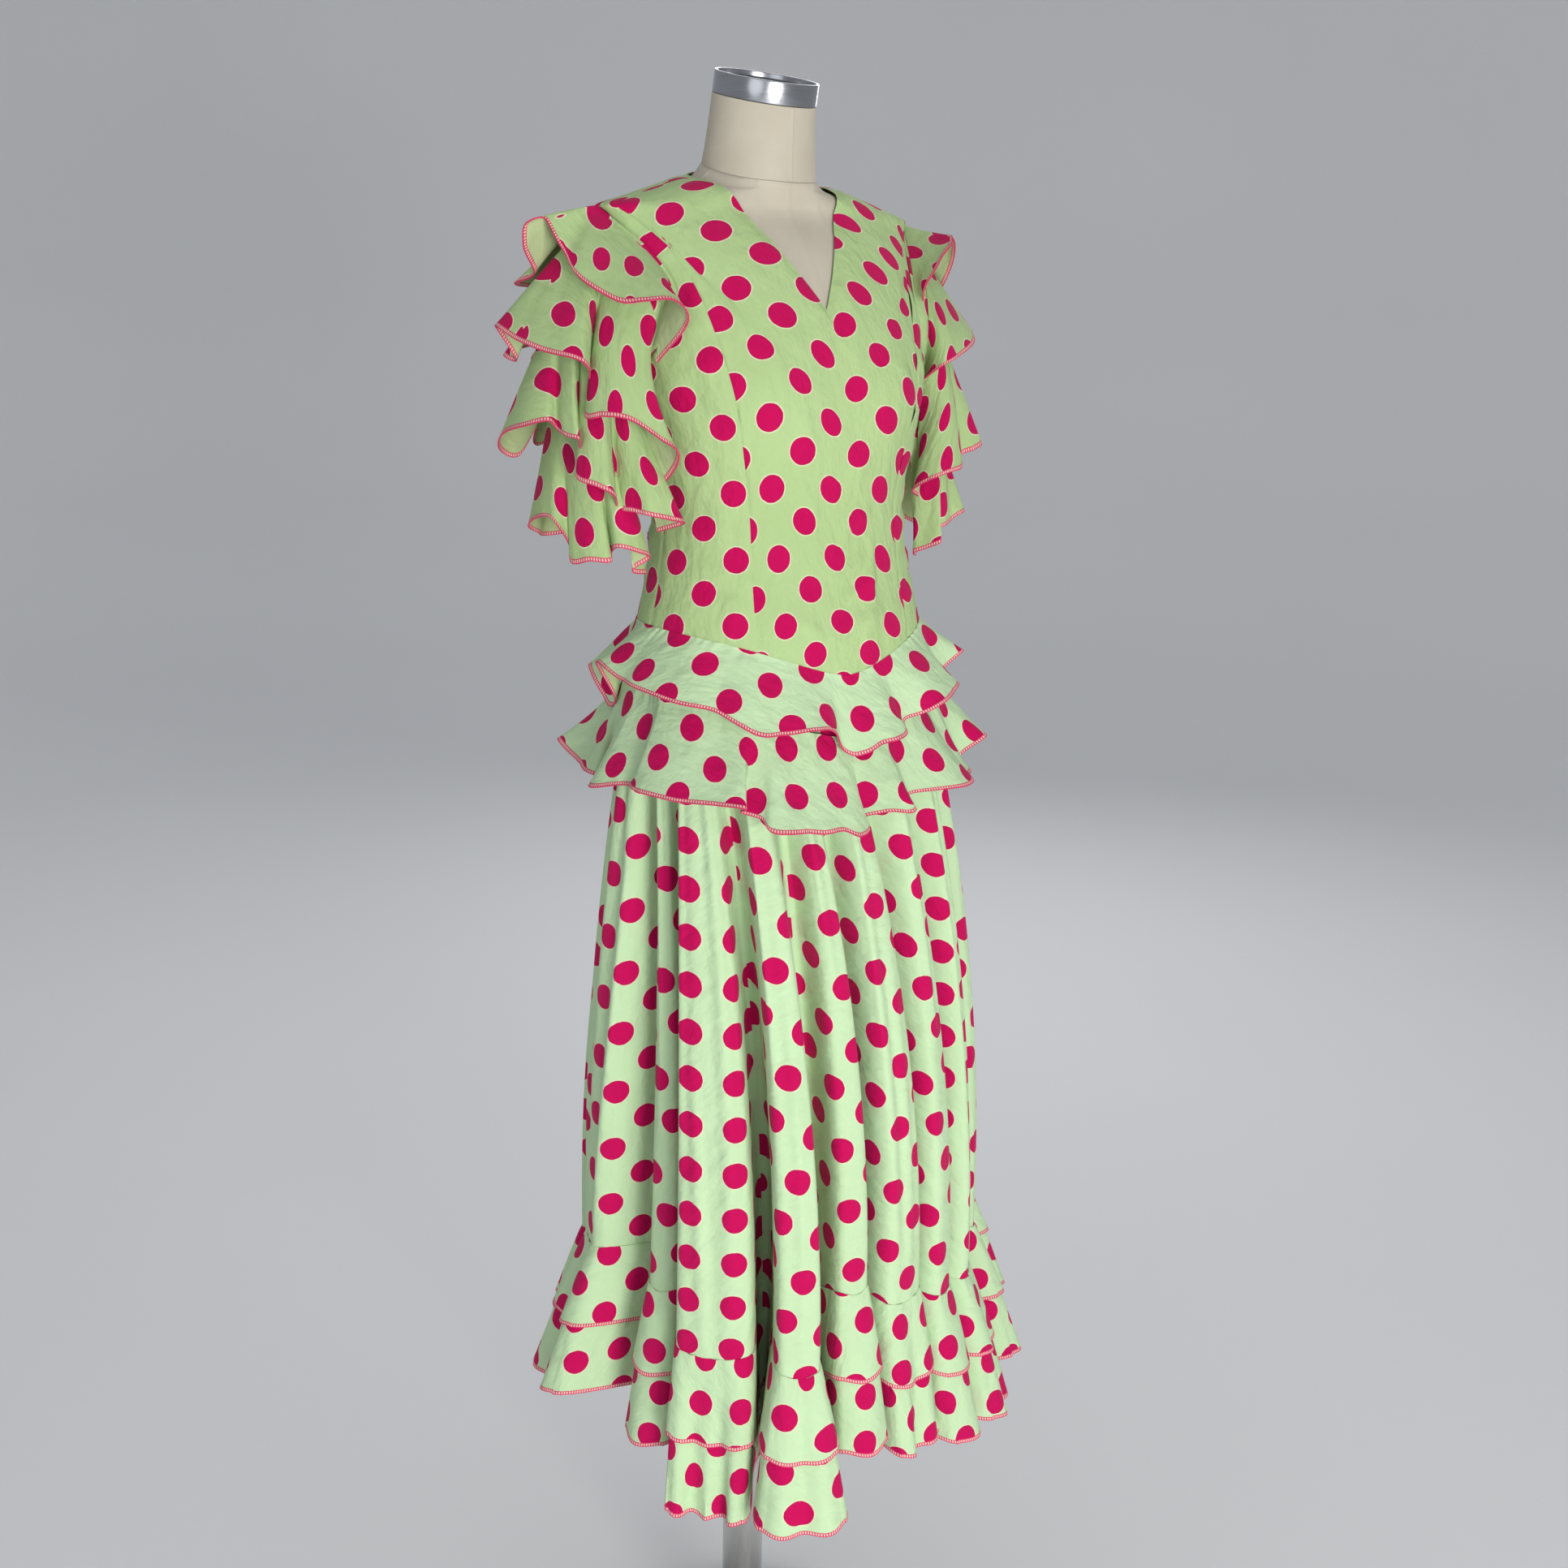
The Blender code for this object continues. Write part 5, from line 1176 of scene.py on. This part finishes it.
def gathers(grid, height, pitch, fade=0.016):
    """Rise of small uneven gathers along the seam of a closed flounce, fading out below it."""
    run = arc_lengths(ringed(grid[:1]), 1)[0]
    lap = 2 * np.pi * run[:-1] / run[-1]
    wave = np.sin(lap * round(run[-1] / pitch) + 1.9 * np.sin(7 * lap) + 1.3 * np.sin(17 * lap))
    size = height * (0.65 + 0.35 * np.sin(11 * lap))
    return size * wave * np.exp(-arc_lengths(grid, 0) / fade)


lengths = np.linspace(0, HEM_LENGTH, HEM_ROWS)
hem = rounded(np.array([hem_row(length) for length in lengths]), SKIRT_LINES_FINE)
hem_normals = outward(hem, True)
pipe_rise = np.zeros(hem.shape[:2])
opened = (lengths / HEM_LENGTH)[:, None] ** 1.3
for i, (pipes, pipe) in enumerate(zip(FOLDS["pipes"], FOLDS["pipe"])):
    first, last = i * FOLD_FINE, i * FOLD_FINE + 2 * SKIRT_LINES_FINE
    x = np.linspace(0, 1, last - first + 1)
    wave = -np.cos(2 * np.pi * pipes * x) * np.sin(np.pi * x) ** 0.5
    pipe_rise[:, first:last + 1] += opened * pipe * wave
pipe_rise += gathers(hem, *HEM_GATHERS)
hem = hem + unit(hem_normals * (1, 1, 0)) * pipe_rise[..., None]
hem_lower_normals = outward(hem, True)
print_uv, edge_uv, cut = circle_cut(hem, True, turn=20.0)
cloth_shell("hem_flounce_lower", hem, hem_lower_normals, print_uv, edge_uv, closed=True,
            cut=cut, cloth=washed_side)
upper_rows = int(round(HEM_UPPER_LENGTH / HEM_LENGTH * (HEM_ROWS - 1))) + 1
hem_upper = stood_off(hem[:upper_rows], HEM_SEAM_STAND, HEM_UPPER_STAND)
print_uv, edge_uv, cut = circle_cut(hem_upper, True, turn=75.0, shift=(0.02, 0.01))
cloth_shell("hem_flounce_upper", hem_upper, outward(hem_upper, True), print_uv, edge_uv, closed=True,
            cut=cut, cloth=washed_side)

# ------------------------------------------------------------ the waist flounces
# Two more circle-cut flounces over the hips. The upper one is sewn into the dropped waist seam
# and dips with it in front; the lower one is sewn to the skirt under it.
HIP_STEPS = 720                # fine columns round each flounce
HIP_ROWS = 25
HIP_DROPS = np.arange(0.0, 0.21, 0.01)
HIP_BINS = np.arange(-180, 180, 4.0)
HIP_WINDOW = (2.1, 7.0)        # the ridges are looked for this far round, and further lower down
HIP_WINDOW_DROP = 0.03
HIP_FLOUNCES = (               # name, drop of its seam, stand-off, how late it opens, turn, what it lies on
    ("lower", 0.062, 0.0026, 1.5, 35.0, ["skirt_front", "skirt_back"]),
    ("upper", -0.0022, 0.0008, 1.2, 10.0, ["peplum_flounce_lower"]),
)
# The free edges as they hang: angle at the seam, angle at the edge, how far the edge stands off
# the skirt, and its height (mm). Where the edge's angle runs back, the flounce folds under itself.
PEPLUM_EDGES = {
    "upper": (
        (-122, -124, 46, 1189), (-113, -113, 16, 1151), (-107, -107, 6, 1158), (-98, -100, 40, 1205),
        (-84, -86, 38, 1198), (-71, -72, 36, 1191), (-61, -62, 36, 1185), (-51, -52, 32, 1179),
        (-43, -44, 36, 1167), (-38, -39, 34, 1158), (-30, -31, 34, 1156), (-21, -20, 32, 1159),
        (-14, -13, 26, 1153), (-8, -8, 14, 1131), (-5, -5, 18, 1126), (-1, -1, 26, 1129),
        (5, 5, 32, 1138), (12, 13, 34, 1144), (19, 21, 14, 1152), (25, 26, 22, 1158),
        (31, 31, 36, 1168), (42, 43, 40, 1179), (55, 59, 14, 1185), (65, 63, 40, 1206),
        (80, 80, 16, 1178), (93, 92, 38, 1172), (106, 105, 12, 1166), (119, 118, 36, 1168),
        (132, 131, 14, 1164), (145, 145, 38, 1168), (158, 158, 12, 1162), (170, 170, 34, 1166),
        (183, 184, 14, 1162), (196, 197, 38, 1168), (209, 210, 12, 1164), (221, 222, 36, 1174),
        (230, 231, 18, 1176),
    ),
    "lower": (
        (-122, -124, 64, 1104), (-115, -116, 42, 1090), (-109, -105, 20, 1081), (-104, -107, 6, 1079),
        (-93, -93, 40, 1080), (-82, -82, 32, 1089), (-71, -69, 36, 1090), (-62, -59, 36, 1088),
        (-53, -49, 38, 1089), (-45, -41, 40, 1087), (-40, -43, 16, 1077), (-36, -37, 24, 1073),
        (-33, -35, 38, 1066), (-27, -27, 42, 1062), (-21, -20, 42, 1058), (-15, -13, 34, 1057),
        (-10, -8, 36, 1050), (-5, -2, 20, 1052), (-1, -3, 12, 1061), (3, 3, 28, 1068),
        (10, 10, 40, 1067), (18, 17, 12, 1077), (25, 25, 30, 1080), (36, 36, 44, 1081),
        (52, 57, 14, 1090), (64, 58, 48, 1113), (84, 82, 16, 1100), (97, 94, 44, 1094),
        (110, 106, 14, 1088), (123, 119, 42, 1088), (136, 132, 14, 1082), (149, 146, 44, 1086),
        (162, 160, 16, 1080), (175, 174, 40, 1084), (188, 188, 14, 1080), (201, 202, 44, 1086),
        (214, 216, 16, 1084), (228, 229, 40, 1096),
    ),
}


def hip_hull(drop):
    """Outer radius of the skirt's ridges, a drop below the waist seam."""
    share = drop / (skirt[0, :, 2] - skirt[-1, :, 2])
    row = np.clip((share * (SKIRT_ROWS_FINE - 1)).astype(int), 0, SKIRT_ROWS_FINE - 2)
    part = (share * (SKIRT_ROWS_FINE - 1) - row)[:, None]
    column = np.arange(skirt.shape[1])
    ring = skirt[row, column] * (1 - part) + skirt[row + 1, column] * part - (0, SKIRT_CENTRE_Y, 0)
    ring_angle = wrapped(np.degrees(np.arctan2(ring[:, 0], -ring[:, 1])))
    reach = np.hypot(ring[:, 0], ring[:, 1])
    window = HIP_WINDOW[0] + HIP_WINDOW[1] * min(drop / HIP_WINDOW_DROP, 1.0)
    return [reach[np.abs(wrapped(ring_angle - centre)) < window].max() for centre in HIP_BINS]


hip_reach = np.array([hip_hull(drop) for drop in HIP_DROPS])


def hip_seam_angle(angle):
    """Angle on the body for a direction from the skirt's middle."""
    a = np.radians(angle)
    width = through(BODICE["height"], BODICE["half_width"], SEAM_SIDE_HEIGHT)
    depth = through(BODICE["height"], BODICE["half_depth"], SEAM_SIDE_HEIGHT)
    return np.degrees(np.arctan2(np.sin(a) / width, np.cos(a) / depth))


def hip_seam_height(angle):
    """Height of the waist seam in a direction from the skirt's middle."""
    return seam_point(hip_seam_angle(angle))[:, 2]


def hip_point(angle, height, off):
    """A point that stands off the skirt's ridges."""
    row = np.clip((hip_seam_height(angle) - height) / HIP_DROPS[1], 0, len(HIP_DROPS) - 1.001)
    column = (wrapped(angle) + 180) / 360 * len(HIP_BINS)
    i, j = row.astype(int), column.astype(int)
    a, b, j_next = row - i, column - j, (j + 1) % len(HIP_BINS)
    j = j % len(HIP_BINS)
    near = hip_reach[i, j] * (1 - a) + hip_reach[i + 1, j] * a
    far = hip_reach[i, j_next] * (1 - a) + hip_reach[i + 1, j_next] * a
    point = direction(angle) * (near * (1 - b) + far * b + off)[:, None] + (0.0, SKIRT_CENTRE_Y, 0.0)
    point[:, 2] = height
    return point


def peplum_grid(edge, drop, off, ease):
    """A flounce round the hips, which opens from its seam into uneven folds."""
    edge = table("seam turn stand_mm height_mm", edge)
    keys = edge["seam"]
    angle = np.linspace(keys[0], keys[0] + 360, HIP_STEPS, endpoint=False)
    turn = around(keys, edge["turn"], angle, 360)
    stand, height = (around(keys, edge[name], angle) for name in ("stand", "height"))
    seam_height = hip_seam_height(angle) - drop
    grid = np.array([
        hip_point(angle + (turn - angle) * v, seam_height + (height - seam_height) * v,
                  off * (1 + v) + stand * v ** ease) for v in np.linspace(0, 1, HIP_ROWS)])
    if drop < 0:               # sewn into the waist seam, over the bodice's edge
        place = hip_seam_angle(angle)
        level = waist_seam_height(place) - SKIRT_SEAM_DROP - drop
        closing = (body_point(BODICE, place, level) + off * body_normal(BODICE, place, level) - grid[0])
        grid = grid + closing * (1 - np.linspace(0, 1, HIP_ROWS)[:, None, None]) ** 4
    return grid + unit(outward(grid, True) * (1, 1, 0)) * gathers(grid, *HIP_GATHERS)[..., None]


for word, drop, off, ease, turn, under in HIP_FLOUNCES:
    flounce = peplum_grid(PEPLUM_EDGES[word], drop, off, ease)
    print_uv, edge_uv, cut = circle_cut(flounce, True, turn=turn)
    cloth_shell(f"peplum_flounce_{word}", flounce, outward(flounce, True), print_uv, edge_uv,
                closed=True, cut=cut, cloth=washed_side)

# ------------------------------------------------------------ the sleeves
# A short plain sleeve on each side, and on it four circle-cut flounces in tiers. Each is open
# under the arm, where its ends run out, and is overlocked in pink along its free edge.
SLEEVE_TIERS = table("seam front_end back_end ease", [
    (0.03, 84, -92, 0.8), (0.24, 116, -100, 1.1), (0.54, 128, -106, 1.1), (0.95, 140, -120, 1.1),
])
# The free edge of each flounce as it hangs, from its back end (-1) to its front end (+1): share
# of the cloth, turn round the arm, how far it stands off the sleeve, and its height (mm). Each front
# end folds back on itself, so that its plain side shows.
SLEEVE_EDGES = {
    "right": (
        ((-1.00, -92, 18, 1575), (-0.80, -74, 40, 1572), (-0.60, -56, 22, 1585),
         (-0.40, -38, 50, 1590), (-0.25, -22, 30, 1600), (-0.10, -6, 52, 1628), (0.00, -3, 58, 1647),
         (0.10, 5, 42, 1650), (0.18, 21, 30, 1623), (0.32, 40, 40, 1596), (0.45, 53, 40, 1582),
         (0.58, 65, 42, 1573), (0.70, 74, 45, 1575), (0.80, 84, 50, 1576), (0.90, 96, 52, 1556),
         (1.00, 108, 20, 1517)),
        ((-1.00, -100, 15, 1520), (-0.80, -80, 45, 1512), (-0.62, -62, 20, 1530),
         (-0.45, -45, 50, 1520), (-0.30, -32, 35, 1515), (-0.15, -24, 60, 1548), (0.00, 3, 50, 1535),
         (0.12, 26, 46, 1525), (0.22, 44, 48, 1520), (0.30, 51, 45, 1514), (0.36, 52, 28, 1505),
         (0.42, 47, 8, 1486), (0.47, 49, 28, 1466), (0.56, 63, 45, 1466), (0.66, 75, 50, 1465),
         (0.74, 86, 50, 1459), (0.82, 97, 62, 1446), (0.90, 110, 70, 1428), (0.95, 118, 50, 1405),
         (1.00, 120, 22, 1380)),
        ((-1.00, -106, 12, 1440), (-0.80, -85, 35, 1425), (-0.62, -66, 15, 1445),
         (-0.48, -58, 35, 1415), (-0.36, -40, 48, 1422), (-0.25, -12, 52, 1443),
         (-0.15, 10, 50, 1453), (-0.05, 24, 40, 1459), (0.05, 27, 30, 1450), (0.12, 38, 38, 1445),
         (0.20, 47, 38, 1440), (0.26, 40, 15, 1422), (0.31, 42, 30, 1407), (0.40, 59, 42, 1398),
         (0.50, 72, 36, 1388), (0.56, 82, 10, 1374), (0.64, 92, 28, 1372), (0.74, 99, 48, 1369),
         (0.84, 110, 60, 1365), (0.92, 121, 66, 1360), (1.00, 126, 34, 1349)),
        ((-1.00, -120, 8, 1335), (-0.75, -90, 22, 1330), (-0.50, -60, 10, 1335),
         (-0.30, -36, 20, 1345), (-0.15, 6, 22, 1362), (-0.02, 20, 20, 1353), (0.05, 25, 10, 1334),
         (0.10, 29, 14, 1320), (0.22, 52, 20, 1322), (0.32, 72, 18, 1322), (0.38, 76, 4, 1328),
         (0.46, 77, 20, 1336), (0.58, 100, 26, 1331), (0.68, 122, 26, 1322), (0.76, 116, 12, 1313),
         (0.86, 112, 10, 1308), (1.00, 136, 20, 1304)),
    ),
    "left": (
        ((-1.00, -92, 18, 1575), (-0.70, -65, 40, 1575), (-0.45, -42, 22, 1585),
         (-0.20, -20, 45, 1590), (0.00, 2, 30, 1600), (0.20, 34, 50, 1653), (0.32, 44, 50, 1645),
         (0.48, 57, 38, 1630), (0.62, 68, 30, 1616), (0.80, 80, 18, 1600), (1.00, 90, 8, 1582)),
        ((-1.00, -100, 15, 1520), (-0.75, -76, 45, 1512), (-0.50, -52, 20, 1530),
         (-0.25, -25, 45, 1520), (-0.05, -3, 25, 1520), (0.15, 22, 40, 1556), (0.28, 40, 40, 1545),
         (0.45, 84, 30, 1526), (0.60, 108, 35, 1516), (0.75, 122, 30, 1505), (1.00, 136, 10, 1488)),
        ((-1.00, -106, 12, 1440), (-0.70, -76, 40, 1420), (-0.45, -50, 18, 1440),
         (-0.20, -22, 45, 1430), (0.00, 5, 25, 1430), (0.12, 30, 50, 1427), (0.22, 40, 38, 1420),
         (0.30, 48, 22, 1414), (0.36, 62, 24, 1405), (0.50, 94, 30, 1399), (0.65, 113, 33, 1392),
         (0.80, 130, 25, 1379), (1.00, 124, 8, 1370)),
        ((-1.00, -120, 8, 1335), (-0.60, -72, 20, 1330), (-0.30, -36, 12, 1335), (0.00, 5, 18, 1330),
         (0.15, 40, 30, 1350), (0.30, 60, 12, 1341), (0.45, 102, 12, 1332), (0.52, 106, 4, 1322),
         (0.62, 95, 18, 1320), (0.75, 111, 11, 1312), (0.90, 127, 10, 1306), (1.00, 124, 6, 1303)),
    ),
}
SLEEVE_SEAM_STAND = 0.0008
SLEEVE_CAP_DROP = 0.028
SLEEVE_HEM_CENTRE = (0.206, 0.014, 1.440)
SLEEVE_HEM_HALF_WIDTH = 0.028
SLEEVE_HEM_HALF_DEPTH = 0.062
TIER_COLUMNS = 193
TIER_ROWS = 25


def sleeve_point(turn, share):
    """The left sleeve under its flounces; turn 0 is the outer side, 90 front, 180 underarm."""
    turn, share = np.broadcast_arrays(np.asarray(turn, float), np.asarray(share, float))
    c, s = np.cos(np.radians(turn)), np.sin(np.radians(turn))
    half = (SHOULDER_TIP_HEIGHT - UNDERARM_HEIGHT) / 2
    height = UNDERARM_HEIGHT + half * (1 + c)
    angle = 90 - ARMHOLE_SCOOP * np.cos(np.pi / 2 * c) * np.sign(s)
    start = body_point(BODICE, angle, height) + SLEEVE_SEAM_STAND * body_normal(BODICE, angle, height)
    end = np.array(SLEEVE_HEM_CENTRE) + np.stack(
        [SLEEVE_HEM_HALF_WIDTH * c, -SLEEVE_HEM_HALF_DEPTH * s, np.zeros_like(c)], -1)
    bend = np.stack([end[..., 0], (start[..., 1] + end[..., 1]) / 2,
                     start[..., 2] - SLEEVE_CAP_DROP], -1)
    share = share[..., None]
    return (1 - share) ** 2 * start + 2 * share * (1 - share) * bend + share ** 2 * end


def sleeve_side(turn, height):
    """The sleeve's surface at given heights; below its hem it carries straight on down."""
    shares = np.linspace(0, 1, 41)
    line = sleeve_point(turn[:, None], shares[None])
    return np.array([[np.interp(-at, -column[:, 2], column[:, axis]) for axis in (0, 1)] + [at]
                     for column, at in zip(line, height)])


def sleeve_tier_grid(tier, word):
    """One sleeve flounce, sewn to the sleeve from its back end over the outer side to its front."""
    row = {name: column[tier] for name, column in SLEEVE_TIERS.items()}
    keys, *edge = table("share turn stand_mm height_mm", SLEEVE_EDGES[word][tier]).values()
    share = np.linspace(-1, 1, TIER_COLUMNS)
    seam_turn = np.where(share > 0, share * row["front_end"], -share * row["back_end"])
    edge_turn, stand, height = (through(keys, values, share) for values in edge)
    seam = sleeve_point(seam_turn, row["seam"])
    grid = []
    for v in np.linspace(0, 1, TIER_ROWS):
        turn = seam_turn + (edge_turn - seam_turn) * v
        out = np.stack([np.cos(np.radians(turn)), -np.sin(np.radians(turn)), np.zeros_like(turn)], -1)
        off = FLOUNCE_SEAM_STAND * (0.5 + v) + stand * v ** row["ease"]
        grid.append(sleeve_side(turn, seam[:, 2] + (height - seam[:, 2]) * v) + out * off[:, None])
    return np.array(grid)


turns = np.linspace(0, 360, 96, endpoint=False)
base = sleeve_point(turns[None], np.linspace(0, 1, 25)[:, None])
for side, word in ((1, "left"), (-1, "right")):
    mirror = np.array([side, 1, 1])
    grid = base * mirror
    normals = outward(grid, True)
    print_uv, edge_uv, cut = circle_cut(grid, True)
    cloth_shell(f"sleeve_base_{word}", grid, normals, print_uv, np.ones_like(edge_uv), closed=True,
                cut=cut)
    for tier in range(len(SLEEVE_TIERS["seam"])):
        grid = sleeve_tier_grid(tier, word) * mirror
        print_uv, edge_uv, cut = circle_cut(grid, False, turn=40.0 * tier + 15 * side)
        normals = outward(grid, False, SLEEVE_HEM_CENTRE * mirror)
        cloth_shell(f"sleeve_flounce_{tier + 1}_{word}", grid, normals, print_uv, edge_uv, cut=cut)

# ------------------------------------------------------------ the zip's slider and pull
# A small die-cast slider, painted in the cloth's green, sits closed at the top of the centre
# back. Its pull hangs from the bridge by a bar.
paint, shader, place = new_finish("zip_enamel", roughness=0.32, Coat_Weight=0.4)
chips = place.noise(0.0012, 3.0).above(0.66, 0.06)
feed(shader, Base_Color=chips.mixed((0.42, 0.62, 0.24), (0.50, 0.50, 0.50)),
     Roughness=chips * 0.15 + 0.30, Metallic=chips * 0.9)
for name in ("zip_slider", "zip_pull"):
    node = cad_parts[name]
    node.data.materials.clear()
    node.data.materials.append(paint)

# ------------------------------------------------------------ the render's view transform
bpy.context.scene.view_settings.view_transform = "Standard"
